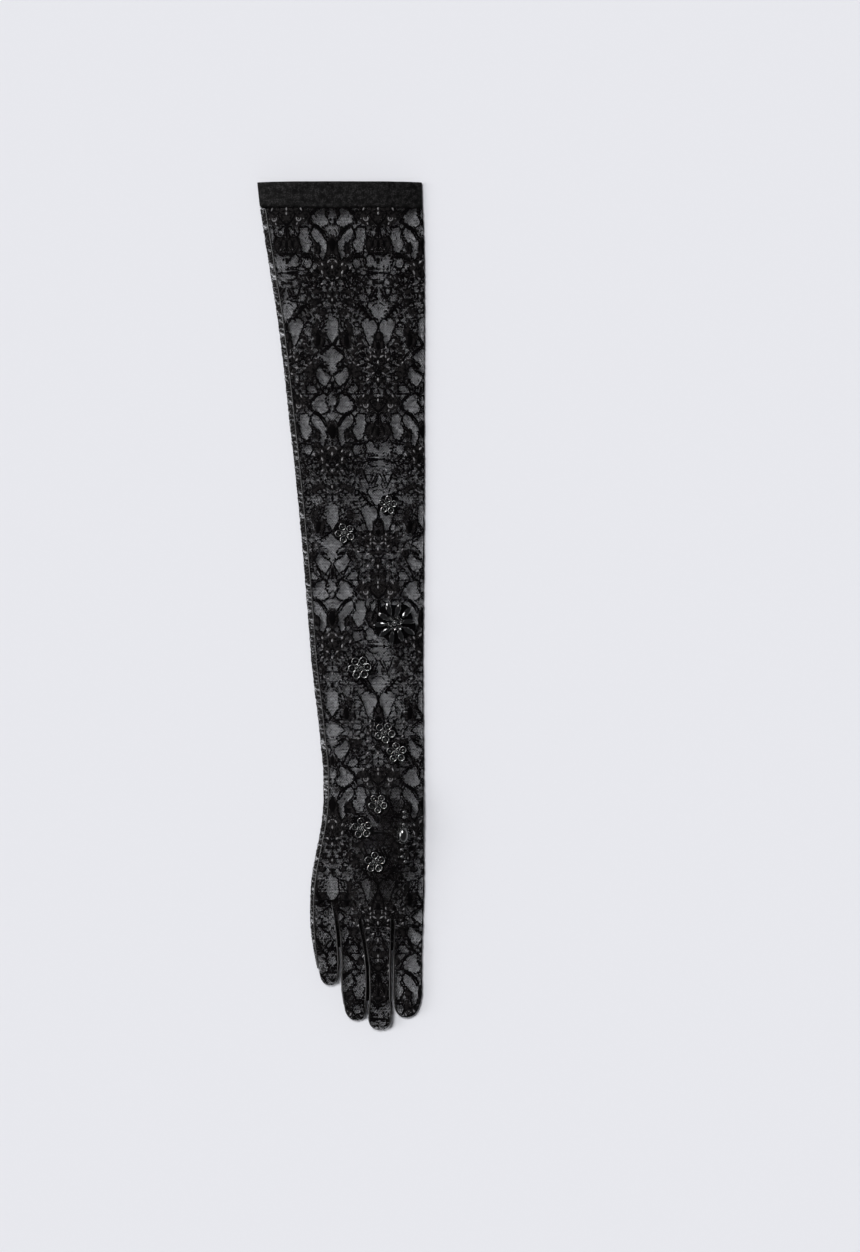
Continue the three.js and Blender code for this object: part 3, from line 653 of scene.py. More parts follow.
# Closely worked cloth
SHADES = [
    [(20, 17), (27, 16.5), (34.4, 16), (34.4, 27), (31, 24), (27, 27.5), (22, 26), (18, 21)],
    [(34.4, 35), (31, 38), (27, 36.5), (25, 40), (25.5, 45), (28.5, 49.5), (34.4, 50)],
    [(0, 37), (3, 39), (4, 44), (3, 49), (0, 50)],
    [(10, 42.5), (13, 41.5), (14, 46), (12.5, 49.5), (9.8, 49)],
    [(0, 53), (5, 55), (9, 54), (14, 51.5), (14, 57), (9, 60), (8, 66), (4, 68), (0, 66)],
    [(5, 109.5), (9, 109), (13, 112), (13.5, 118), (9, 121), (7.6, 119), (6, 114)],
    [(34.4, 108.5), (31.5, 110.5), (30.6, 119.5), (34.4, 119)],
    [(10, 100), (14, 104), (15, 111), (12, 108)],
    [(34.4, 122), (26, 125), (25, 129), (29, 131), (34.4, 128)],
    [(12, 133), (16, 134), (22, 137), (20, 141), (13, 140)],
]
HOLE_REACH = 1.6
GROUND_WEAVE = 0.14
MEDALLION_WEAVE = 0.34
SHADE_WEAVE = 0.9
OUTLINE_MARGIN = 0.45
OUTLINE_SOFTNESS = 1.0

# The medallions, worked closely: centre (b, v), half width, half length
MEDALLIONS = [(34.4, 0, 27, 26), (34.4, 140, 27, 26), (0, 68.5, 23, 24)]

# Small holes kept between the sprigs: b, v, half width, half length, turn
HOLES = [
    (16, 3, 1.2, 1.3, 0), (21.8, 3.4, 1.5, 1.1, 0), (27.2, 4.8, 1.3, 2.4, 20), (22.6, 7.4, 1.5, 1.1, 0),
    (24, 10.4, 0.9, 1.9, -20), (26.8, 13.8, 0.8, 2.6, -24), (32.2, 8, 0.9, 0.9, 0), (30.8, 2, 0.8, 1.8, 30),
    (31.4, 15.6, 0.9, 1.9, 0), (20.2, 16.2, 1.2, 1.2, 0), (16.8, 17, 1.8, 1.0, 0),
    (22.4, 18.8, 1.7, 1.1, 0), (29, 26, 0.9, 2.2, -20), (20, 25.4, 1.3, 1.3, 0), (27.6, 44, 1.1, 1.1, 0),
    (32, 46.8, 1.3, 1.2, 0), (2.6, 53.6, 1.2, 1.2, 0), (12.8, 58, 1.1, 1.7, 0), (31.8, 62, 0.9, 0.9, 0),
    (21.6, 61.6, 1.5, 0.9, 0), (18.6, 64, 1.0, 1.1, 0), (16.2, 67.2, 1.7, 0.9, 20), (23, 68, 1.6, 1.3, 0),
    (5.4, 76.2, 1.4, 2.3, 0), (3, 81.6, 1.4, 1.9, 0), (15.4, 76.6, 2.3, 1.5, 0), (14, 82, 0.9, 1.3, 0),
    (10.4, 81, 0.9, 1.6, 0), (3.2, 87, 0.7, 3.2, -48), (3.2, 92.6, 0.9, 2.2, 0), (13.6, 91.6, 0.8, 3.0, 52),
    (11.4, 96.6, 1.8, 1.3, 0), (16.6, 101.8, 1.0, 1.0, 0), (19, 108.6, 1.6, 1.1, 0),
    (15.2, 112, 0.8, 2.4, -10), (23.4, 115.4, 1.0, 2.2, 18), (17.8, 124, 1.7, 1.0, 0),
    (13.2, 122, 0.7, 1.8, -20), (27.2, 122.6, 0.7, 1.7, 40), (12.2, 131.8, 1.9, 1.6, 0),
    (17, 132.6, 1.1, 1.1, 0), (29.6, 131, 0.9, 1.9, 20), (30, 136.6, 0.8, 1.8, -30),
    (17.6, 137, 1.0, 1.3, 0), (24.8, 138, 0.9, 1.7, 10), (27.6, 71.6, 1.9, 1.1, 30), (8.6, 61, 1.2, 1.2, 0),
    (23.8, 83.6, 0.9, 2.0, 40), (13.6, 125.6, 0.9, 0.9, 0), (7.4, 58.4, 0.9, 0.9, 0),
    (2.4, 30.8, 1.3, 1.0, 0), (0.9, 33.4, 0.9, 1.2, 0), (4.4, 34.6, 1.1, 1.0, 0),
]


def in_repeat(x, y):
    """(b, v) of points on the glove: distance from a B axis and distance down the repeat."""
    b = np.abs(np.mod(x - FOLD_AXIS + HALF_REPEAT, 2 * HALF_REPEAT) - HALF_REPEAT)
    return b, np.mod(REPEAT_START - y, REPEAT)


def closeness(b, v):
    """1 within a medallion and 0 away from them."""
    found = [(1.2 - np.hypot((b - cb) / rb, (v - cv) / rv)) / 0.35 for cb, cv, rb, rv in MEDALLIONS]
    return np.clip(np.max(found, 0), 0, 1)


def in_holes(b, v):
    """1 in the middle of the small holes and 0 outside them."""
    found = np.zeros(np.shape(b))
    for hole_b, hole_v, wide, long, turn in HOLES:
        s, c = math.sin(math.radians(turn)), math.cos(math.radians(turn))
        across_hole = (b - hole_b) * c - (v - hole_v) * s
        along_hole = (b - hole_b) * s + (v - hole_v) * c
        found = np.maximum(found, HOLE_REACH - np.hypot(across_hole / wide, along_hole / long))
    return np.clip(found, 0, 1)


def within(outlines, b, v):
    """1 inside any of the outlines and 0 outside all of them, with a soft border."""
    found = np.zeros(np.shape(b))
    for outline in outlines:
        corners = np.array(outline)
        low, high = corners.min(0), corners.max(0)
        for wrap in (-REPEAT, 0, REPEAT):
            near = (b > low[0] - 1) & (b < high[0] + 1) & (v > low[1] + wrap - 1) & (v < high[1] + wrap + 1)
            if near.any():
                found[near] = np.maximum(found[near], depth_inside(corners, b[near], v[near] - wrap))
    return found


def depth_inside(corners, b, v):
    """From 0 just outside an outline to 1 well inside it."""
    inside = np.zeros(b.shape, bool)
    distance = np.full(b.shape, 1e9)
    for (b0, v0), (b1, v1) in zip(corners, np.roll(corners, -1, 0)):
        crosses = (v0 > v) != (v1 > v)
        rise = v1 - v0 if abs(v1 - v0) > 1e-9 else 1e-9
        inside ^= crosses & (b < (b1 - b0) * (v - v0) / rise + b0)
        on_axis = b0 == b1 and b0 in (0, HALF_REPEAT)
        if not on_axis:
            run, climb = b1 - b0, v1 - v0
            share = np.clip(((b - b0) * run + (v - v0) * climb) / (run * run + climb * climb), 0, 1)
            distance = np.minimum(distance, np.hypot(b - b0 - share * run, v - v0 - share * climb))
    return np.clip((np.where(inside, distance, -distance) + OUTLINE_MARGIN) / OUTLINE_SOFTNESS + 0.5, 0, 1)


# Cloth surfaces

UNDER_HEM = 5
HAND_EXTRA = 0.03
HAND_RAMP = (-235, -215, -100, -20)
EVEN_WEAVE = 0.16
EVENED = {"finger_middle": 0.45, "finger_ring": 0.35, "finger_little": 0.5}


def cloth(name, field, nodes, first=0, last=None, shut=(False, False), plain=False, evened=0.0):
    """Back and palm of a stretch as one tube of lace net, with its place in the cloth as its UVs. Evened is
    how far the difference between windows and ground is taken away."""
    rows = slice(first, last)
    ys, lefts, rights = field.y[rows], field.left[rows], field.right[rows]
    x = lefts[:, None] + (rights - lefts)[:, None] * across
    y = ys[:, None] + 0 * x
    loop_x = np.concatenate([x, x[:, -2:0:-1]], 1)
    loop_y = np.concatenate([y, y[:, -2:0:-1]], 1)
    loop_z = np.concatenate([field.back[rows], field.palm[rows][:, -2:0:-1]], 1)
    count, around = loop_x.shape
    points = np.stack([loop_x, loop_y, loop_z], 2).reshape(-1, 3)
    faces = grid_faces(count, around, around=True)
    for is_shut, row in zip(shut, (0, count - 1)):
        if is_shut:
            ring = [row * around + j for j in range(around)]
            faces.append(tuple(ring[::-1] if row == 0 else ring))
    b, v = in_repeat(loop_x, loop_y)
    b, v = b.ravel(), v.ravel()
    weave = 0 * b
    if not plain:
        ground = GROUND_WEAVE + (MEDALLION_WEAVE - GROUND_WEAVE) * closeness(b, v)
        is_open = np.maximum(within(WINDOWS, b, v), in_holes(b, v))
        weave = np.maximum(ground * (1 - is_open), SHADE_WEAVE * within(SHADES, b, v))
        weave = weave * (1 - evened) + EVEN_WEAVE * evened
        weave += HAND_EXTRA * np.interp(loop_y.ravel(), HAND_RAMP, (0, 1, 1, 0))
    # Measured along the cloth from its left edge, so that the net closes up where it turns over the edges
    steps = np.hypot(np.diff(loop_x, axis=1), np.diff(loop_z, axis=1))
    u = np.concatenate([np.zeros((count, 1)), np.cumsum(steps, 1)], 1)
    u = 400 + u - u[:, COLUMNS:COLUMNS + 1]
    uv = np.stack([u, 800 - loop_y], 2).reshape(-1, 2)
    chart_uv = np.stack([b, REPEAT_START - loop_y.ravel()], 1)
    return piece(name, points, faces, lace_net, nodes, uv=uv, chart_uv=chart_uv, weave=weave)


first_lace_row = int(np.argmax(body.y < HEM_LOW + UNDER_HEM))
wrist_row = int(np.argmax(body.y < WRIST))
arm = cloth("lace_arm", body, ["sleeve"], first=first_lace_row, last=wrist_row + 1)
hand = cloth("lace_hand", body, ["hand"], first=wrist_row)
cloth("lace_knuckles", strip, [])
for finger in FINGERS:
    cloth("lace_" + finger, fields[finger], [finger], shut=(False, True), evened=EVENED.get(finger, 0))
cloth("lace_thumb", thumb, ["thumb"], shut=(True, True), plain=True)


# The lace chart: raised shapes of one half repeat, drawn in plan with a rise in mm

class Shapes:
    """Small raised shapes in plan, with the discs that they cover."""

    def __init__(self):
        self.points, self.faces, self.owner, self.on_axis, self.discs = [], [], [], [], []
        # Whether each shape goes to the silk thread, whose pale colour is a painted glint
        self.silk, self.painting_glints = [], False

    def add(self, points, faces, discs, on_axis):
        """Takes in one shape, in the silk thread of painted glints while that flag is set."""
        self.silk.append(self.painting_glints)
        base = len(self.points)
        self.faces += [tuple(base + i for i in face) for face in faces]
        self.points += points
        self.owner += [len(self.on_axis)] * len(points)
        self.on_axis.append(on_axis)
        self.discs += discs


chart = Shapes()
AXIS_B, AXIS_A = "B", "A"


def axis_of(b):
    """Which mirror axis a shape is centred on, if any."""
    if abs(b) < 0.3:
        return AXIS_B
    if abs(b - HALF_REPEAT) < 0.3:
        return AXIS_A
    return ""


def curve(points, step):
    """A smooth line through points, at about that step."""
    p = np.array(points, float)
    if len(p) == 2:
        count = max(2, int(np.linalg.norm(p[1] - p[0]) / step) + 1)
        return np.linspace(p[0], p[1], count)
    padded = np.vstack([2 * p[0] - p[1], p, 2 * p[-1] - p[-2]])
    found = []
    for i in range(1, len(padded) - 2):
        a, b, c, d = padded[i - 1:i + 3]
        count = max(2, int(np.linalg.norm(c - b) / step))
        for t in np.arange(count) / count:
            found.append(0.5 * (2 * b + (c - a) * t + (2 * a - 5 * b + 4 * c - d) * t ** 2
                                + (3 * b - a - 3 * c + d) * t ** 3))
    found.append(p[-1])
    return np.array(found)


RIDGE = 0.3


def raised(line, along, half, rises, closed=False):
    """Points and faces of a line with a ridge along its middle; half is half its width at each point."""
    along = along / np.maximum(np.linalg.norm(along, axis=1), 1e-9)[:, None]
    side = np.stack([-along[:, 1], along[:, 0]], 1) * half[:, None]
    points = []
    for place, out, rise in zip(line, side, rises):
        points += [(*(place - out), 0), (*place, rise), (*(place + out), 0)]
    return points, grid_faces(len(line), 3, along=closed)


def stroke(points, widths, step=1.6, closed=False, centre=None):
    """A raised line of changing width with a ridge along its middle."""
    line = curve(points, step) if step else np.array(points, float)
    count = len(line)
    width = np.interp(np.linspace(0, 1, count), np.linspace(0, 1, len(widths)), widths)
    if closed:
        along = np.roll(line, -1, 0) - np.roll(line, 1, 0)
    else:
        along = np.vstack([line[1:], line[-1:]]) - np.vstack([line[:1], line[:-1]])
    made, faces = raised(line, along, width / 2, [RIDGE] * count, closed)
    discs = [(x, y, w / 2) for (x, y), w in zip(line, width)]
    middle = line.mean(0) if centre is None else centre
    chart.add(made, faces, discs, axis_of(middle[0]))


LEAF_PROFILE = [0.05, 0.62, 0.93, 1.0, 0.82, 0.5, 0.05]


def leaf(b, v, length, width, turn=0, bend=0.0, rise=0.32, parts=5):
    """A pointed leaf. Turn 0 lies down the glove; bend bows it sideways."""
    s, c = math.sin(math.radians(turn)), math.cos(math.radians(turn))
    t = np.linspace(-1, 1, parts + 1)
    out = bend * (1 - t ** 2)
    line = np.stack([b + t * length / 2 * s + out * c, v + t * length / 2 * c - out * s], 1)
    profile = np.interp(np.linspace(0, 1, parts + 1), np.linspace(0, 1, len(LEAF_PROFILE)), LEAF_PROFILE)
    rises = [rise * min(1, 2 * share) for share in profile]
    points, faces = raised(line, np.gradient(line, axis=0), profile * width / 2, rises)
    discs = [(x, y, w * width / 2) for (x, y), w in zip(line, profile)]
    chart.add(points, faces, discs, axis_of(b))


def dot(b, v, radius, sides=6):
    """A small knot."""
    points = [(b, v, RIDGE)]
    points += [(b + radius * math.cos(t), v + radius * math.sin(t), 0) for t in turns(sides)]
    chart.add(points, fan(sides), [(b, v, radius)], axis_of(b))


DOME_RISE = 0.35
DOME_SIDES = 12


def oval(b, v, half_width, half_length, turn=0):
    """A low dome with a flat-ish crown."""
    s, c = math.sin(math.radians(turn)), math.cos(math.radians(turn))
    points = [(b, v, DOME_RISE)]
    for share, level in ((0.62, DOME_RISE * 0.85), (1.0, 0.0)):
        for t in turns(DOME_SIDES):
            p, q = share * half_width * math.cos(t), share * half_length * math.sin(t)
            points.append((b + p * c + q * s, v - p * s + q * c, level))
    faces = fan(DOME_SIDES) + grid_faces(2, DOME_SIDES, base=1, around=True, order=LEFTWARD)
    spread = np.linspace(-1, 1, 3) * max(half_length - half_width, 0)
    discs = [(b + q * s, v + q * c, half_width) for q in spread]
    chart.add(points, faces, discs, axis_of(b))


def ring(b, v, half_width, half_length, width, sides=12):
    """A closed oval line."""
    line = [(b + half_width * math.cos(t), v + half_length * math.sin(t)) for t in turns(sides)]
    stroke(line, [width, width], closed=True, step=0, centre=(b, v))


def dots_along(points, radius, spacing):
    """Knots along a line."""
    for b, v in curve(points, spacing):
        dot(b, v, radius)


# Share of shapes drawn in the silk thread, whose pale colour is a painted glint
SILK_GLINT_SHARE = 0.45
# Petals of each medallion in rounds: radius, count, length, width, squash
LARGE_ROUNDS = [(4.6, 8, 3.4, 1.3, 1), (8.6, 12, 3.6, 1.4, 1), (12.6, 15, 3.4, 1.3, 1),
                (16.6, 19, 3.2, 1.3, 1), (20.4, 22, 3.0, 1.2, 0.98)]
SMALL_ROUNDS = [(4.4, 8, 3.2, 1.3, 1), (8.4, 12, 3.4, 1.4, 1), (12.4, 15, 3.2, 1.3, 1),
                (16.4, 18, 3.0, 1.2, 1)]


def medallion(b_centre, v_centre, towards, rounds):
    """Petals in rounds about a centre on a mirror axis; towards is the side of the half repeat."""
    dice = random.Random(3)
    for radius, count, length, width, squash in rounds:
        for k in range(count // 2 + 1):
            turn = 2 * math.pi * k / count
            on_axis = k in (0, count / 2)
            away = radius + (0 if on_axis else dice.uniform(-0.7, 0.7))
            lean = 0 if on_axis else dice.uniform(-50, 50)
            b = b_centre + towards * away * math.sin(turn)
            v = v_centre + away * squash * math.cos(turn)
            if -0.2 <= b <= HALF_REPEAT + 0.2:
                # Some petals go to the silk thread of painted glints
                chart.painting_glints = dice.random() < SILK_GLINT_SHARE
                leaf(b, v, length * dice.uniform(0.8, 1.1), width, towards * math.degrees(turn) + lean)
    chart.painting_glints = False


def draw_chart():
    """The charted forms of the half repeat: b from axis B to axis A, v down the glove over one repeat."""
    a = HALF_REPEAT
    # The large medallion, on axis A
    ring(a, 0, 2.2, 2.2, 0.9, 10)
    dot(a, 0, 0.8)
    medallion(a, 0, -1, LARGE_ROUNDS)
    # The smaller one, on axis B
    ring(0, 68.5, 2.0, 2.0, 0.8, 10)
    medallion(0, 68.5, 1, SMALL_ROUNDS)
    # Down axis A
    stroke([(a, 28.5), (a - 4.2, 25), (a - 7, 19.5)], [1.6, 1.2, 0.6])
    leaf(a, 34, 11, 1.8)
    stroke([(a - 2, 52.0), (a - 5.6, 50.4), (a - 8.2, 46.5), (a - 9.6, 42.5)], [0.4, 0.8, 0.9, 0.4])
    stroke([(a - 9.4, 40), (a - 7.6, 37), (a - 5, 38.4)], [0.7, 1.4, 0.6])
    leaf(a, 43.5, 8, 2.6)
    leaf(a - 4.2, 42.5, 7, 1.9, -14)
    for shift in (0, 2.0):
        stroke([(a - 10.4, 50 + shift), (a - 14.5, 50.8 + shift), (a - 19, 50.4 + shift)], [0.7, 0.7, 0.4])
    oval(a, 55.0, 0.9, 1.9)
    dots_along([(a - 13, 59.5), (a - 9.5, 59.6)], 0.55, 2.2)
    stroke([(a - 0.2, 64.2), (a - 5.6, 64.4), (a - 10.6, 66.4), (a - 12.6, 71)], [0.7, 0.8, 0.8, 0.5])
    stroke([(a - 0.8, 75), (a - 3.4, 79.6), (a - 5.4, 84.2)], [0.9, 0.9, 0.5])
    stroke([(a - 11.4, 72), (a - 9, 79.6), (a - 6.6, 84)], [0.6, 1.0, 0.8])
    arc = [(a - 14 + 5.4 * math.sin(t), 71 - 5.4 * math.cos(t)) for t in np.linspace(-2.4, 0.9, 7)]
    stroke(arc, [0.5, 0.9, 0.5])
    stroke([(a - 0.4, 86.8), (a - 3, 87.6), (a - 4.6, 89.6)], [0.5, 0.6, 0.4])
    stroke([(a - 15.4, 86.8), (a - 11, 92.6), (a - 5.2, 98.4)], [0.9, 1.7, 1.0])
    for k in range(5):
        leaf(a - 15.6 + 2.4 * k, 90.6 + 2.2 * k, 3.4, 1.3, -60)
    leaf(a, 103.6, 6.6, 2.0)
    ring(a, 112, 2.1, 3.0, 0.9)
    leaf(a, 119.2, 5.6, 4.0)
    leaf(a - 2.4, 123.4, 4.6, 1.7, 40)
    # Down axis B
    leaf(0, 9.6, 8, 2.6)
    leaf(2.5, 11.6, 4.4, 1.5, 20)
    stroke([(12.4, 3.6), (9.2, 9.4), (8, 13.4)], [1.3, 1.2, 0.5])
    stroke([(9.6, 14.8), (13, 16.6), (17.2, 20.6)], [0.5, 1.0, 0.8])
    stroke([(15.4, 28.4), (10.4, 30.4), (6.4, 33.6), (3.8, 38.4)], [0.6, 1.2, 1.5, 0.6])
    oval(0, 43.4, 2.6, 5.4)
    leaf(17.6, 25.4, 6, 1.8, 16)
    dots_along([(20.2, 50.6), (20.4, 53.6), (21.4, 57.6), (20.2, 62)], 0.6, 2.1)
    ring(17.2, 66, 2.2, 2.2, 0.8, 10)
    oval(10.6, 115, 2.0, 4.8, 6)
    stroke([(0.4, 118.2), (2.6, 113.4), (5.6, 110.4)], [0.9, 0.8, 0.4])
    stroke([(0.4, 118.2), (4.6, 121.2), (9.6, 124.6)], [0.9, 1.0, 0.6])
    leaf(6.6, 134.6, 6.4, 1.9, -70)
    stroke([(12.6, 124.6), (15.6, 130), (13.4, 136)], [0.5, 1.0, 0.5])
    leaf(0, 93.6, 5, 2.0)


def outlined(corners, step):
    """Points along an outline at about that step, and whether it closes on itself."""
    first, last = corners[0], corners[-1]
    closed = not (first[0] == last[0] and first[0] in (0, HALF_REPEAT))
    ends = corners + [corners[0]] if closed else corners
    line = []
    for (b0, v0), (b1, v1) in zip(ends, ends[1:]):
        count = max(1, round(math.hypot(b1 - b0, v1 - v0) / step))
        line += [(b0 + (b1 - b0) * k / count, v0 + (v1 - v0) * k / count) for k in range(count)]
    if not closed:
        line.append(last)
    return line, closed


def scalloped(line, closed, dice):
    """Every other point of an outline moved a little to one side or the other of it."""
    made = []
    for k, (b, v) in enumerate(line):
        (b0, v0), (b1, v1) = line[k - 1], line[(k + 1) % len(line)]
        run, climb = b1 - b0, v1 - v0
        length = max(math.hypot(run, climb), 0.3)
        off = dice.uniform(0.1, 0.5) * (1 if k % 2 else -1)
        fixed = not closed and k in (0, len(line) - 1)
        made.append((b, v) if fixed else (b - climb / length * off, v + run / length * off))
    return made


CORD_SWELLS = (0.7, 1.2)
CORD_WAISTS = (0.4, 0.65)
BARB_LENGTH = (2.0, 3.4)
BARB_WIDTH = (0.8, 1.3)
BARB_EDGE = 1.2


def border_windows():
    """A scalloped cord round each open window, with small barbs across it."""
    dice = random.Random(8)
    for corners in WINDOWS:
        line, closed = outlined(corners, 1.0)
        line = scalloped(line, closed, dice)
        widths = [dice.uniform(*(CORD_SWELLS if k % 2 else CORD_WAISTS)) for k in range(len(line))]
        stroke(line, widths, closed=closed, step=0, centre=None if closed else corners[0])
        for k, (b, v) in enumerate(line):
            if k % 3 == 1 and BARB_EDGE < b < HALF_REPEAT - BARB_EDGE:
                (b0, v0), (b1, v1) = line[k - 1], line[(k + 1) % len(line)]
                lean = dice.choice((-1, 1)) * dice.uniform(25, 70)
                turn = math.degrees(math.atan2(b1 - b0, v1 - v0)) + lean
                leaf(b, v, dice.uniform(*BARB_LENGTH), dice.uniform(*BARB_WIDTH), turn, rise=0.25, parts=2)


def free(discs, gap):
    """Whether discs keep that gap from all that is drawn."""
    if not chart.discs:
        return True
    known = np.array(chart.discs)
    for b, v, r in discs:
        for wrap in (-REPEAT, 0, REPEAT):
            if (np.hypot(known[:, 0] - b, known[:, 1] + wrap - v) < known[:, 2] + r + gap).any():
                return False
    return True


def radial(b, v):
    """Angle that points away from the nearer medallion."""
    upper = v < 34 or v > 104
    centre_b, centre_v = (HALF_REPEAT, 0 if v < 34 else REPEAT) if upper else (0, 68.5)
    return math.degrees(math.atan2(b - centre_b, v - centre_v))


SPRIGS = [
    # tries, length (0 for a knot), width, gap to what is there, share of curls
    (350, 5.0, 1.5, 1.2, 0.6),
    (700, 3.7, 1.3, 1.1, 0.5),
    (1300, 2.5, 1.0, 1.0, 0.3),
    (1000, 0, 0.45, 0.9, 0),
]


def fill_ground(seed):
    """Works over what is neither window nor motif with sprigs, curls and knots, largest first."""
    dice = random.Random(seed)
    holes = []
    for b, v, wide, long, turn in HOLES:
        s, c = math.sin(math.radians(turn)), math.cos(math.radians(turn))
        holes += [(b + t * long * s, v + t * long * c, wide * 0.8) for t in (-0.6, 0, 0.6)]
    for tries, length, width, gap, curls in SPRIGS:
        for _ in range(tries):
            b, v = dice.uniform(0.7, HALF_REPEAT - 0.7), dice.uniform(0, REPEAT)
            place = np.array([b]), np.array([v])
            if within(WINDOWS, *place)[0] > 0.1:
                continue
            close = max(closeness(b, v), within(SHADES, *place)[0])
            keep_off = gap * (1 - 0.45 * close)
            turn = radial(b, v) + dice.uniform(-75, 75)
            bend = dice.uniform(-0.9, 0.9)
            curled = dice.random() < curls
            # Near the medallions more of them go to the silk thread of painted glints
            chart.painting_glints = dice.random() < SILK_GLINT_SHARE * close
            if not length:
                discs = [(b, v, width)]
            elif curled:
                line = arc_line(b, v, 0.34 * length, math.radians(turn), dice.uniform(3.2, 5.0))
                discs = [(x, y, 0.3 * width) for x, y in line]
            else:
                s, c = math.sin(math.radians(turn)), math.cos(math.radians(turn))
                discs = []
                for t in (-0.85, -0.4, 0, 0.4, 0.85):
                    along, bow = t * length / 2, bend * (1 - t * t)
                    reach = width / 2 * (1 - 0.5 * abs(t))
                    discs.append((b + along * s + bow * c, v + along * c - bow * s, reach))
            if not all(0.4 < d[0] < HALF_REPEAT - 0.4 for d in discs):
                continue
            if not free(discs, keep_off) or not apart(discs, holes):
                continue
            if not length:
                dot(b, v, width, sides=5)
            elif curled:
                stroke(line, [0.5 * width, 0.75 * width, 0.4 * width], step=0)
            else:
                leaf(b, v, length, width, turn, bend, parts=4)
    chart.painting_glints = False


def arc_line(b, v, radius, start, sweep, count=7):
    """Points along part of a circle."""
    turns = start + sweep * np.linspace(0, 1, count)
    return list(zip(b + radius * np.cos(turns), v + radius * np.sin(turns)))


def apart(discs, others):
    """Whether discs keep off the others."""
    known = np.array(others)
    return all((np.hypot(known[:, 0] - b, known[:, 1] - v) > known[:, 2] + r).all() for b, v, r in discs)


draw_chart()
border_windows()
fill_ground(7)


# Draping the chart over both layers

COLUMNS_OF_LACE = [
    # axis B, side, whether shapes centred on axis B and on axis A are drawn in this copy
    (FOLD_AXIS, -1, True, False),
    (FOLD_AXIS - 2 * HALF_REPEAT, 1, True, True),
    (FOLD_AXIS - 2 * HALF_REPEAT, -1, False, True),
    (FOLD_AXIS - 4 * HALF_REPEAT, 1, False, False),
]
EDGE_MARGIN = 0.25
RELIEF_LIFT = 0.06
FLATTENED = 0.02
GLOVE_TIP = -320
LANES = list(FINGERS)
LITTLE = LANES.index("finger_little")


def lane_of(x, y):
    """The finger that a shape belongs to, from its centre."""
    best = np.zeros(len(x), int)
    nearest = np.full(len(x), 1e9)
    for i, finger in enumerate(LANES):
        left, right = fields[finger].edges(np.clip(y, fields[finger].y[-1] + 6, fields[finger].y[0]))
        away = np.abs(x - (left + right) / 2) / (right - left)
        closer = away < nearest
        best[closer], nearest[closer] = i, away[closer]
    return best


def on_glove(x, y, lane, side):
    """Clamps points to the glove's outline and gives their height there, and which of them were outside."""
    left, right, z = np.zeros((3, len(x)))
    outside = y > HEM_LOW + 0.6
    y = y.copy()
    for i, finger in enumerate(LANES):
        mine, tip = lane == i, fields[finger].y[-1]
        outside |= mine & (y < tip + 0.4)
        y[mine] = np.maximum(y[mine], tip + 0.5)
    stretches = [(body, y > CROTCH), (strip, (y <= CROTCH) & (y > KNUCKLES) & (lane != LITTLE))]
    for i, finger in enumerate(LANES):
        below = CROTCH if i == LITTLE else KNUCKLES
        stretches.append((fields[finger], (y <= below) & (lane == i)))
    for field, mask in stretches:
        if mask.any():
            left[mask], right[mask] = field.edges(y[mask])
    margin = np.minimum(EDGE_MARGIN, (right - left) * 0.45)
    outside |= (x < left + margin) | (x > right - margin)
    x = np.clip(x, left + margin, right - margin)
    for field, mask in stretches:
        if mask.any():
            z[mask] = field.height(x[mask], y[mask], side)
    return x, y, z, outside


def drape_chart(name, side, material, picked):
    """All repeats of the picked shapes of the chart over the back (side 1) or the palm (side -1)."""
    base, owner, picked = np.array(chart.points), np.array(chart.owner), np.array(picked)
    axis = np.array([{"": 0, AXIS_B: 1, AXIS_A: 2}[a] for a in chart.on_axis])[owner]
    totals = np.bincount(owner)
    all_points, all_faces, start = [], [], 0
    for axis_b, turn, with_b, with_a in COLUMNS_OF_LACE:
        shown = ~((axis == 1) & (not with_b)) & ~((axis == 2) & (not with_a)) & picked[owner]
        for k in range(-1, 5):
            x = axis_b + turn * base[:, 0]
            y = REPEAT_START - base[:, 1] - REPEAT * k
            if y.min() > HEM_LOW or y.max() < GLOVE_TIP:
                continue
            centre_x = (np.bincount(owner, x) / totals)[owner]
            centre_y = (np.bincount(owner, y) / totals)[owner]
            x, y, z, outside = on_glove(x, y, lane_of(centre_x, centre_y), side)
            rise = np.where(outside, FLATTENED, base[:, 2]) + RELIEF_LIFT
            points = np.stack([x, y, z + side * rise], 1)
            faces = [face if turn * side < 0 else face[::-1] for face in chart.faces
                     if shown[face[0]] and not all(outside[i] for i in face)]
            used = sorted({i for face in faces for i in face})
            numbers = dict(zip(used, range(start, start + len(used))))
            all_faces += [tuple(numbers[i] for i in face) for face in faces]
            all_points.append(points[used])
            start += len(used)
    is_smooth = material is not silk_painted_glints
    return piece(name, np.concatenate(all_points), all_faces, material, smooth=is_smooth)


drape_chart("lace_motifs_back", 1, lace_thread, [not painting_glints for painting_glints in chart.silk])
# The silk shapes: pale thread whose colour is a painted glint
drape_chart("lace_silk_painted_glints_back", 1, silk_painted_glints, chart.silk)
drape_chart("lace_motifs_palm", -1, lace_thread, [True] * len(chart.silk))


# The hem: a doubled band, turned in at the arm opening
HEM_PROUD = 0.25
HEM_OVERLAP = 0.3
HEM_WALL = 1.1
EDGE_TURN = 0.35


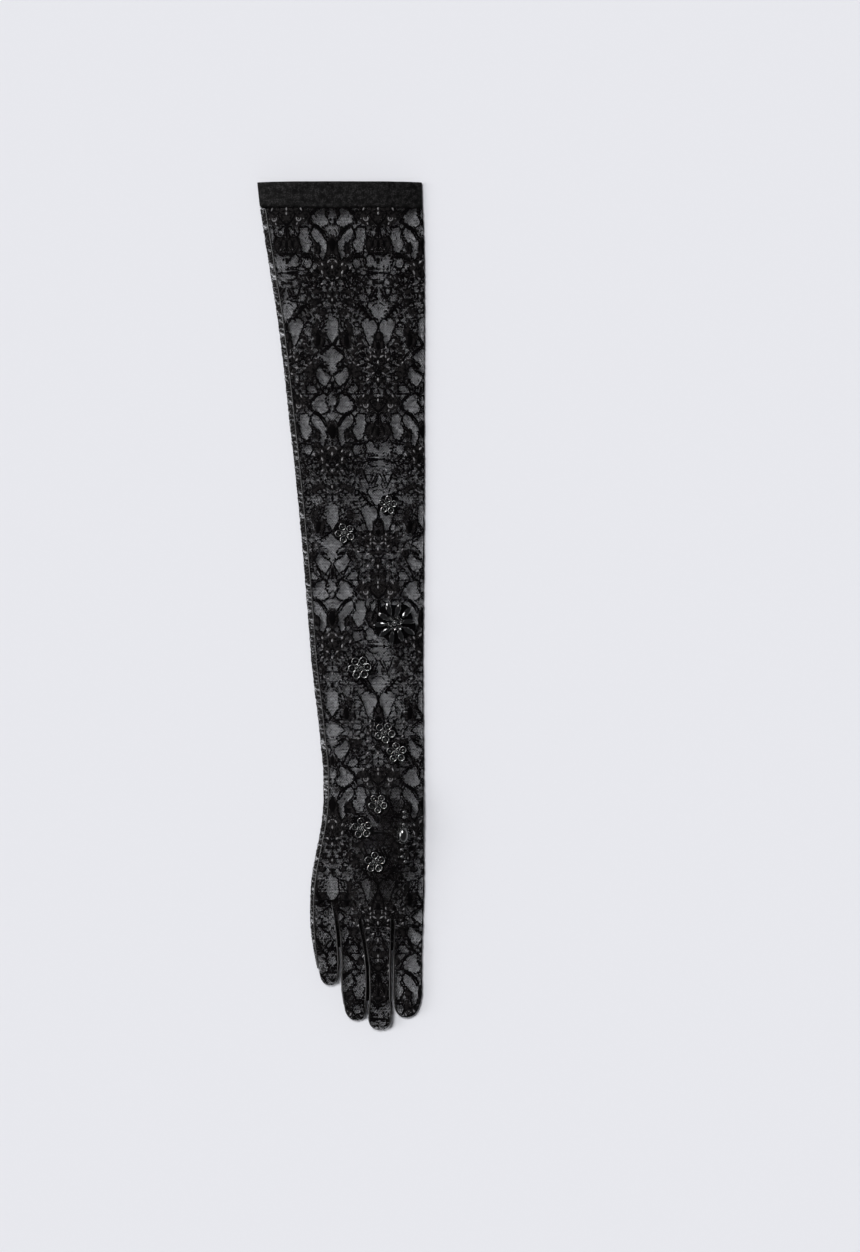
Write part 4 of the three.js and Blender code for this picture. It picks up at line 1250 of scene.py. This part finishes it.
def band(field, y_low, y_high, wall):
    """Points, faces and UVs of a doubled band: along its face, round the opening and back inside."""
    ys = rows_between(y_low, y_high, 1.5)
    path = [(y_low, 2 * HEM_PROUD)] + [(y, 0.0) for y in ys]
    for t in np.linspace(0.5, math.pi, 5):
        path.append((y_high + EDGE_TURN * math.sin(t), wall / 2 * (1 - math.cos(t))))
    path += [(y, wall) for y in ys[::-1]]
    points, uv = [], []
    run = 0
    previous = path[0]
    for y, inset in path:
        run += math.hypot(y - previous[0], inset - previous[1])
        previous = (y, inset)
        at = min(max(y, y_low), y_high)
        left, right = field.edges(at)
        xs = left + (right - left) * across
        back = field.height(xs, np.full(len(xs), at), 1) + HEM_PROUD
        palm = np.maximum(field.height(xs, np.full(len(xs), at), -1) - HEM_PROUD, 0.05)
        middle = (back + palm) / 2
        shrink = np.clip(1 - inset / np.maximum((back - palm) / 2, 0.4), 0.12, 1)
        back, palm = middle + (back - middle) * shrink, middle + (palm - middle) * shrink
        xs = (left + inset) + (right - left - 2 * inset) * across
        loop = [(x, y, z) for x, z in zip(xs, back)] + [(x, y, z) for x, z in zip(xs[-2:0:-1], palm[-2:0:-1])]
        points += loop
        uv += [(FOLD_AXIS - p[0] + 400, run + 100) for p in loop]
    return points, grid_faces(len(path), len(across) * 2 - 2, around=True, order=BACKWARD), uv


points, faces, uv = band(body, HEM_LOW - HEM_OVERLAP, HEM_TOP, HEM_WALL)
hem = piece("hem_band_cloth", points, faces, band_cloth, ["hem_band"], uv=uv)


# Tubes for cords and stitches

def tube(points, radius, sides=6):
    """Points and faces of a tube along a line; radius is one number or one for each point."""
    line = np.array(points, float)
    count = len(line)
    radii = np.broadcast_to(np.asarray(radius, float), (count,))
    along = np.gradient(line, axis=0)
    along /= np.maximum(np.linalg.norm(along, axis=1), 1e-9)[:, None]
    side = np.cross(along, [0, 0, 1.0])
    weak = np.linalg.norm(side, axis=1) < 0.15
    side[weak] = np.cross(along[weak], [1.0, 0, 0])
    side /= np.linalg.norm(side, axis=1)[:, None]
    over = np.cross(side, along)
    made = [line[i] + radii[i] * (side[i] * math.cos(t) + over[i] * math.sin(t))
            for i in range(count) for t in turns(sides)]
    faces = grid_faces(count, sides, around=True)
    faces.append(tuple(range(sides))[::-1])
    faces.append(tuple((count - 1) * sides + j for j in range(sides)))
    return made, faces


class Gather:
    """Several meshes in one piece."""

    def __init__(self):
        self.points, self.faces = [], []

    def add(self, part):
        """Takes in the points and faces of one more."""
        points, faces = part
        base = len(self.points)
        self.points += [tuple(map(float, p)) for p in points]
        self.faces += [tuple(base + i for i in face) for face in faces]

    def piece(self, name, material, slot, nodes=(), smooth=True):
        """All of them as one object."""
        return piece(name, self.points, self.faces, material, nodes, smooth)


# The outer seam: a narrow net allowance under an overlock stitch

SEAM_TOP, SEAM_TAPER, SEAM_END = 299.0, -240.0, -271.6
SEAM_LEVEL = 1.3
SEAM_SHARES = (0.04, 0.5, 1.12)
SEAM_CORE = 0.55
SEAM_WEAVES = (-0.9, 1.1, 1.1)
STITCH_PITCH = 2.3
THREAD_RADIUS = 0.2
seam_triangles = triangles_of("side_seam")
seam_rows = rows_between(SEAM_TOP, SEAM_END, 1.1)
seam_left, seam_right = [], []
for y in seam_rows:
    cut = section(seam_triangles, y)
    seam_left.append(cut[:, :, 0].min())
    seam_right.append(cut[:, :, 0].max())
seam_left, seam_right = np.array(seam_left), np.array(seam_right)


def seam_at(y, share):
    """A point of the seam allowance: share 0 is its outer edge and 1 where it meets the cloth."""
    left = np.interp(-y, -seam_rows, seam_left)
    right = np.interp(-y, -seam_rows, seam_right)
    fade = min(max((SEAM_TAPER - y) / (SEAM_TAPER - SEAM_END), 0), 1)
    left += (right - left) * 0.8 * fade * fade
    return left + (right - left) * share


points, uv = [], []
for y in seam_rows:
    for share in SEAM_SHARES:
        x = seam_at(y, share)
        points.append((x, y, SEAM_LEVEL + 0.12 * math.sin(y * 0.9 + share)))
        uv.append((FOLD_AXIS - x + 400, 800 - y))
faces = grid_faces(len(seam_rows), len(SEAM_SHARES), order=LEFTWARD)
dice = random.Random(2)
weave = [dice.choice(SEAM_WEAVES) for _ in points]
piece("seam_allowance", points, faces, plain_net, ["side_seam"], uv=uv, weave=weave)

stitches = Gather()
line = [(seam_at(y, 1.02), y, SEAM_LEVEL + 0.75) for y in rows_between(SEAM_TOP, SEAM_END, 2.0)]
stitches.add(tube(line, SEAM_CORE))
dice = random.Random(11)
y = SEAM_TOP - 0.6
while y > SEAM_END + STITCH_PITCH:
    wobble = dice.uniform(-0.25, 0.25)
    outer = 0.06 + dice.uniform(-0.05, 0.07)
    far = (seam_at(y + wobble, outer), y + wobble, SEAM_LEVEL)
    over = (seam_at(y + wobble, 0.5), y + 0.35 * STITCH_PITCH, SEAM_LEVEL + 0.42)
    near = (seam_at(y, 1.0), y + 0.7 * STITCH_PITCH, SEAM_LEVEL + 0.5)
    stitches.add(tube([near, over, far], THREAD_RADIUS, 4))
    back = (seam_at(y - 0.6 * STITCH_PITCH, 0.95), y - 0.5 * STITCH_PITCH, SEAM_LEVEL + 0.3)
    under = (seam_at(y, 0.45), y - 0.25 * STITCH_PITCH, SEAM_LEVEL - 0.3)
    stitches.add(tube([far, under, back], THREAD_RADIUS, 4))
    chain = (seam_at(y - STITCH_PITCH, outer + 0.03), y - STITCH_PITCH + wobble, SEAM_LEVEL)
    middle = (min(far[0], chain[0]) - 0.05, y - STITCH_PITCH / 2, SEAM_LEVEL + 0.15)
    stitches.add(tube([far, middle, chain], THREAD_RADIUS * 1.1, 4))
    y -= STITCH_PITCH
stitches.piece("seam_stitches", seam_thread, "thread")


# The crease where the lace is folded over, along the inner edge

crease = Gather()
dice = random.Random(4)
CREASE_RADIUS = 0.4
CREASE_PITCH = 1.3
CREASE_END = -299.0
line, radii = [], []
for y in rows_between(HEM_LOW - 0.4, CREASE_END, CREASE_PITCH):
    field = body if y > CROTCH else strip if y > KNUCKLES else fields["finger_index"]
    right = field.edges(y)[1]
    level = np.mean([field.height(np.array([right]), np.array([y]), side)[0] for side in (1, -1)])
    line.append((right - 0.1 + dice.uniform(-0.15, 0.15), y, level))
    radii.append(CREASE_RADIUS * dice.uniform(0.6, 1.4))
crease.add(tube(line, radii, 5))
crease.piece("fold_crease", lace_thread, "thread")


# Fourchettes and the seams on both sides of the fingers

FOURCHETTES = {
    # node: the fingers on either side, where the gap starts, how far the fold between them reaches
    "fourchette_index_middle": ("finger_index", "finger_middle", KNUCKLES, -258),
    "fourchette_middle_ring": ("finger_middle", "finger_ring", KNUCKLES, -296),
    "fourchette_ring_little": ("finger_ring", "finger_little", CROTCH, -256),
}
FOURCHETTE_END = 12.0
# A guess, as the photo barely shows these panels.
FOURCHETTE_WIDTH = 10.0
# Step between rows of the fourchettes and their seam cords, in mm. Chosen, not measured
FOURCHETTE_STEP = 2.0
SEAM_CORD = 0.6
SEAM_CORD_SWELL = 14
SEAM_INSET = 0.75
SIDE_LEVELS = (1, 0.5, 0, -0.5, -1)
FOLD_WEAVE = 0.7


def side_line(field, right_side, y, level):
    """A point on a finger's edge. Level 1 is its upper seam, -1 its lower one and 0 the nose between."""
    left, right = field.edges(y)
    inset = SEAM_INSET * abs(level)
    x = right - inset if right_side else left + inset
    at = np.array([x])
    row = np.array([y])
    back, palm = field.height(at, row, 1)[0], field.height(at, row, -1)[0]
    middle = (back + palm) / 2
    return x, y, middle + level * (back - palm) / 2


cords = Gather()
for node, (upper, lower, start, fold_end) in FOURCHETTES.items():
    points, faces, uv, weave = [], [], [], []
    for finger, right_side in ((upper, False), (lower, True)):
        field = fields[finger]
        first_row = min(start, field.y[0]) - 0.1
        ys = rows_between(first_row, field.y[-1] + FOURCHETTE_END, FOURCHETTE_STEP)
        base = len(points)
        out = 0.2 if right_side else -0.2
        for y in ys:
            for level in SIDE_LEVELS:
                x, yy, z = side_line(field, right_side, y, level)
                points.append((x + out, yy, z))
                uv.append((FOLD_AXIS + 1.5 * level + 400, 800 - yy))
                weave.append(0)
        order = (0, 1, 2, 3) if right_side else BACKWARD
        faces += grid_faces(len(ys), len(SIDE_LEVELS), base, order=order)
        for level, lift in ((1, 0.3), (-1, -0.05)):
            line = []
            for y in rows_between(first_row, field.y[-1] + 3.0, FOURCHETTE_STEP):
                x, yy, z = side_line(field, right_side, y, level)
                line.append((x, yy, max(z + lift, SEAM_CORD + 0.02)))
            swell = np.clip(np.arange(len(line)) / SEAM_CORD_SWELL, 0.3, 1)
            cords.add(tube(line, SEAM_CORD * swell))
    # The fold that joins both sides, low in the gap
    base = len(points)
    ys = rows_between(start + 1.5, fold_end, FOURCHETTE_STEP)
    for y in ys:
        (x0, _, z0), (x1, _, z1) = [side_line(fields[finger], right_side, min(y, fields[finger].y[0]), 0)
                                    for finger, right_side in ((upper, False), (lower, True))]
        for share, drop in ((-0.15, 0), (0.5, 0.7), (1.15, 0)):
            points.append((x0 + (x1 - x0) * share, y, (z0 + z1) / 2 - drop))
            uv.append((FOLD_AXIS + 3 * share + 400, 800 - y))
            weave.append(FOLD_WEAVE)
    faces += grid_faces(len(ys), 3, base)
    panel = piece(node + "_net", points, faces, plain_net, [node], uv=uv, weave=weave)
    reach = fields[lower].y[0] - fields[lower].y[-1] - FOURCHETTE_END
    # Size of the flat panel, folded in half round the gap: its width and twice the reach
    cut = (FOURCHETTE_WIDTH * MM, 2 * reach * MM)
cords.piece("finger_seams", seam_thread, "thread")


# Sequins, stones and beads

SEQUIN_THICKNESS = 0.16
LIP_RADIUS = 0.32
BEAD_HOLE = 0.35


def cup(radius, rim, depth, sides=14):
    """A sequin dished like a saucer: rim height above its foot, with a thin lip."""
    foot = depth - SEQUIN_THICKNESS
    climb = rim - depth
    profile = [(0.0, depth), (0.35, depth), (0.64, depth), (0.71, depth + 0.07 * climb),
               (0.78, depth + 0.23 * climb), (0.84, depth + 0.48 * climb), (0.9, depth + 0.84 * climb),
               (0.95, rim), (1.0, rim - 0.08), (1.03, rim - 0.26), (0.75, foot), (0.3, foot), (0.0, foot)]
    return turned([(r * radius, z) for r, z in profile], sides)


def torus(middle, level, half_width, half_height, sides, parts=6):
    """A ring about z with that middle radius and an oval section: a turned surface that closes on itself."""
    profile = [(middle + half_width * math.cos(t), level + half_height * math.sin(t))
               for t in np.linspace(0, 2 * math.pi, parts + 1)[:-1]]
    points, faces = turned(profile, sides)
    last = (parts - 1) * sides
    return points, faces + [(last + i, i, (i + 1) % sides, last + (i + 1) % sides) for i in range(sides)]


def lip(radius, rim):
    """The polished lip of a sequin."""
    return torus(0.93 * radius, rim, LIP_RADIUS, LIP_RADIUS, 20)


def bead(radius):
    """A seed bead: a small rounded ring."""
    tube_radius = radius * (1 - BEAD_HOLE) / 2
    return torus(radius - tube_radius, 0, tube_radius, tube_radius * 1.15, 10)


def turned(profile, sides):
    """A surface of revolution about z from (radius, height) points; a radius of 0 is one point."""
    points, rings = [], []
    for r, z in profile:
        ring_sides = 1 if r < 1e-6 else sides
        rings.append(list(range(len(points), len(points) + ring_sides)))
        if ring_sides == 1:
            points.append((0, 0, z))
        else:
            points += [(r * math.cos(t), r * math.sin(t), z) for t in turns(sides)]
    faces = []
    for a, b in zip(rings, rings[1:]):
        for i in range(sides):
            k = (i + 1) % sides
            if len(a) == 1 and len(b) > 1:
                faces.append((a[0], b[i], b[k]))
            elif len(b) == 1 and len(a) > 1:
                faces.append((a[i], b[0], a[k]))
            elif len(a) > 1:
                faces.append((a[i], b[i], b[k], a[k]))
    return points, faces


def ball(radius, sides=14, parts=8):
    """A round bead."""
    profile = [(radius * math.sin(t), radius * math.cos(t)) for t in np.linspace(0, math.pi, parts + 1)]
    profile[0], profile[-1] = (0.0, profile[0][1]), (0.0, profile[-1][1])
    return turned(profile, sides)


def seated(part, x, y, lift, turn=0.0, lean=0.0, heading=0.0):
    """A part turned about z, leaned by an angle towards a heading, and set that high over the back's cloth.
    Angles in degrees."""
    points, faces = part
    p = np.array(points, float)
    a = math.radians(turn)
    p = p @ np.array([[math.cos(a), math.sin(a), 0], [-math.sin(a), math.cos(a), 0], [0, 0, 1]])
    h, l = math.radians(heading), math.radians(lean)
    axis = np.array([-math.sin(h), math.cos(h), 0])
    c, s = math.cos(l), math.sin(l)
    cross = np.array([[0, -axis[2], axis[1]], [axis[2], 0, -axis[0]], [-axis[1], axis[0], 0]])
    rotation = np.eye(3) + s * cross + (1 - c) * cross @ cross
    return p @ rotation.T + (x, y, back_height(x, y) + lift), faces


def back_height(x, y):
    """Height of the back's cloth under a point."""
    lane = lane_of(np.array([x]), np.array([y]))
    return float(on_glove(np.array([x]), np.array([y]), lane, 1)[2][0])


SEQUIN_FLOWERS = {
    # node: centre x, y, petals, scale, turn
    "flower_upper_arm": (35.4, 76.0, 5, 0.86, 12),
    "flower_outer_arm": (3.2, 55.0, 5, 0.94, 40),
    "flower_forearm": (14.4, -46.0, 6, 1.08, 5),
    "flower_wrist_upper": (33.0, -94.5, 5, 1.0, 62),
    "flower_wrist_lower": (42.0, -109.5, 5, 0.96, 95),
    "flower_hand_upper": (27.9, -147.5, 5, 0.9, 55),
    "flower_hand_outer": (15.9, -166.0, 5, 0.98, 25),
    "flower_hand_lower": (25.7, -191.5, 5, 0.98, 18),
}
CUP_RADIUS = 2.65
CUP_RIM = 0.74
CUP_DEPTH = 0.4
CUP_RING = 5.4
CUP_LIFT = 0.35
PETAL_BEAD = 0.72
CLUSTER_BEAD = 0.98
# How far from the centre each bead of a cluster sits, and how high
CLUSTER = [(1.9, 0.95)] * 7 + [(0.6, 2.1), (0, 2.1)]
dice = random.Random(5)
for node, (x, y, petals, scale, turn) in SEQUIN_FLOWERS.items():
    flower, lips, cluster = Gather(), Gather(), Gather()
    for k in range(petals):
        angle = turn + 360 * k / petals
        px, py = at_angle(x, y, CUP_RING * scale, angle)
        lean = dice.uniform(2, 9)
        seat = (px, py, CUP_LIFT, dice.uniform(0, 25), -lean, angle)
        flower.add(seated(cup(CUP_RADIUS * scale, CUP_RIM, CUP_DEPTH), *seat))
        lips.add(seated(lip(CUP_RADIUS * scale, CUP_RIM), *seat))
        cluster.add(seated(bead(PETAL_BEAD), px, py, CUP_LIFT + CUP_DEPTH + 0.45, 0, dice.uniform(0, 30),
                           dice.uniform(0, 360)))
    for k, (away, lift) in enumerate(CLUSTER):
        angle = turn + 20 + 360 * k / 7
        px, py = at_angle(x, y, away, angle)
        cluster.add(seated(bead(CLUSTER_BEAD), px, py, lift, 0, dice.uniform(20, 80), angle))
    flower.piece("sequins_" + node, sequin, "jet", [node])
    cluster.piece("beads_" + node, jet, "jet")
    lips.piece("lips_" + node, sequin_lip, "jet")


MARQUISE_CENTRE = (40.7, -12.4)
STONES = 10
# Length, width and height of a stone, and how far every other one sits from the centre
STONE_SIZE = (11.0, 4.6, 1.6)
STONE_RINGS = (10.0, 11.6)
BACKING_LIFT = 0.3
BACKING_BORDER = 3.2
BACKING_SIDES = 24
BACKING_RINGS = 4


def backing(x, y, radius):
    """A round of dark cloth under a flower, lying on the lace, with a wavy edge."""
    points = [(x, y, back_height(x, y) + BACKING_LIFT)]
    for ring_number in range(1, BACKING_RINGS + 1):
        for t in turns(BACKING_SIDES):
            away = radius * ring_number / BACKING_RINGS * (1 + 0.09 * math.sin(5 * t + x))
            px, py = x + away * math.cos(t), y + away * math.sin(t)
            points.append((px, py, back_height(px, py) + BACKING_LIFT))
    outer_faces = grid_faces(BACKING_RINGS, BACKING_SIDES, base=1, around=True, order=LEFTWARD)
    return points, fan(BACKING_SIDES) + outer_faces


backings = Gather()
for x, y, petals, scale, turn in SEQUIN_FLOWERS.values():
    backings.add(backing(x, y, (CUP_RING + BACKING_BORDER) * scale))
backings.add(backing(*MARQUISE_CENTRE, max(STONE_RINGS) + BACKING_BORDER))
backings.piece("flower_backings", lace_thread, "thread")


POINTEDNESS = 1.35


def marquise(length, width, height, corners=10):
    """A cut stone pointed at both ends: girdle, two tiers of crown facets and a flat table."""
    points, faces = [], []
    tiers = ((0.72, 0.0, 0), (1.0, 0.28, 0), (1.0, 0.42, 0), (0.80, 0.84, 0.5), (0.52, 1.0, 0))
    for share, level, shift in tiers:
        for i in range(corners):
            t = 2 * math.pi * (i + shift) / corners
            c, s = math.cos(t), math.sin(t)
            across_stone = math.copysign(abs(s) ** POINTEDNESS, s)
            points.append((share * length / 2 * c, share * width / 2 * across_stone, height * level))
    for tier in range(len(tiers) - 1):
        a, b = tier * corners, (tier + 1) * corners
        change = tiers[tier + 1][2] - tiers[tier][2]
        for i in range(corners):
            k = (i + 1) % corners
            if change == 0:
                faces.append((a + i, a + k, b + k, b + i))
            elif change > 0:
                faces += [(a + i, a + k, b + i), (a + k, b + k, b + i)]
            else:
                faces += [(a + i, b + k, b + i), (a + i, a + k, b + k)]
    faces.append(tuple((len(tiers) - 1) * corners + i for i in range(corners)))
    faces.append(tuple(range(corners))[::-1])
    return points, faces


INNER_CUPS, INNER_CUP_RING = 6, 4.6
INNER_CUP = (2.1, 1.5, 0.6)
INNER_BEADS, INNER_BEAD_RING = 8, 1.9
stones, rest = Gather(), Gather()
for k in range(STONES):
    angle = 360 * k / STONES + 6
    px, py = at_angle(*MARQUISE_CENTRE, STONE_RINGS[k % 2], angle)
    lean = dice.uniform(4, 15)
    stones.add(seated(marquise(*STONE_SIZE), px, py, 0.55, angle + dice.uniform(-7, 7), lean,
                      angle + dice.uniform(-40, 40)))
for k in range(INNER_CUPS):
    angle = 60 * k + 15
    px, py = at_angle(*MARQUISE_CENTRE, INNER_CUP_RING, angle)
    rest.add(seated(cup(*INNER_CUP), px, py, 0.9, 0, -dice.uniform(4, 12), angle))
    rest.add(seated(bead(0.8), px, py, 2.1, 0, dice.uniform(0, 40), angle))
for k in range(INNER_BEADS):
    angle = 45 * k
    px, py = at_angle(*MARQUISE_CENTRE, INNER_BEAD_RING, angle)
    rest.add(seated(bead(0.95), px, py, 1.6, 0, dice.uniform(30, 80), angle))
rest.add(seated(ball(1.5), *MARQUISE_CENTRE, 2.6))
stones.piece("marquise_stones", jet_stone, "jet", ["flower_marquise"], smooth=False)
rest.piece("marquise_centre", jet, "jet")

SPRAY_X, SPRAY_TOP, SPRAY_BOTTOM, SPRAY_SPACING = 46.9, -152.0, -196.0, 4.2
SPRAY_BEAD = 1.45
SPRAY_REACH = 2.2
OVAL_Y, OVAL_WIDTH, OVAL_LENGTH, OVAL_HEIGHT = -171.0, 7.5, 11.5, 3.0
SMALL_BEAD, SMALL_SHARE = 0.75, 0.6
CABOCHON_BEADS, CABOCHON_BEAD, CABOCHON_GAP = 18, 0.78, 0.6
spray = Gather()
y = SPRAY_TOP - 1.7
while y > SPRAY_BOTTOM:
    if abs(y - OVAL_Y) > OVAL_LENGTH / 2 + 1.4:
        x = SPRAY_X + 0.9 * math.sin(y * 0.35) + dice.uniform(-0.9, 0.9)
        spray.add(seated(ball(SPRAY_BEAD), x, y, 1.3))
        for step in (-SPRAY_REACH, SPRAY_REACH):
            seat = (x + step, y + dice.uniform(-2, 2), 0.7, 0, dice.uniform(20, 80), dice.uniform(0, 360))
            if dice.random() < SMALL_SHARE:
                spray.add(seated(bead(SMALL_BEAD), *seat))
    y -= SPRAY_SPACING * dice.uniform(0.8, 1.3)
dome, dome_faces = ball(1.0, 24, 16)
dome = [(p[0] * OVAL_WIDTH / 2, p[1] * OVAL_LENGTH / 2, max(p[2], -0.15) * OVAL_HEIGHT) for p in dome]
spray.add(seated((dome, dome_faces), SPRAY_X, OVAL_Y, 0.5))
for t in turns(CABOCHON_BEADS):
    px = SPRAY_X + (OVAL_WIDTH / 2 + CABOCHON_GAP) * math.cos(t)
    py = OVAL_Y + (OVAL_LENGTH / 2 + CABOCHON_GAP) * math.sin(t)
    spray.add(seated(bead(CABOCHON_BEAD), px, py, 0.75, 0, 60, math.degrees(t)))
spray.piece("bead_spray_jet", jet, "jet", ["bead_spray"])
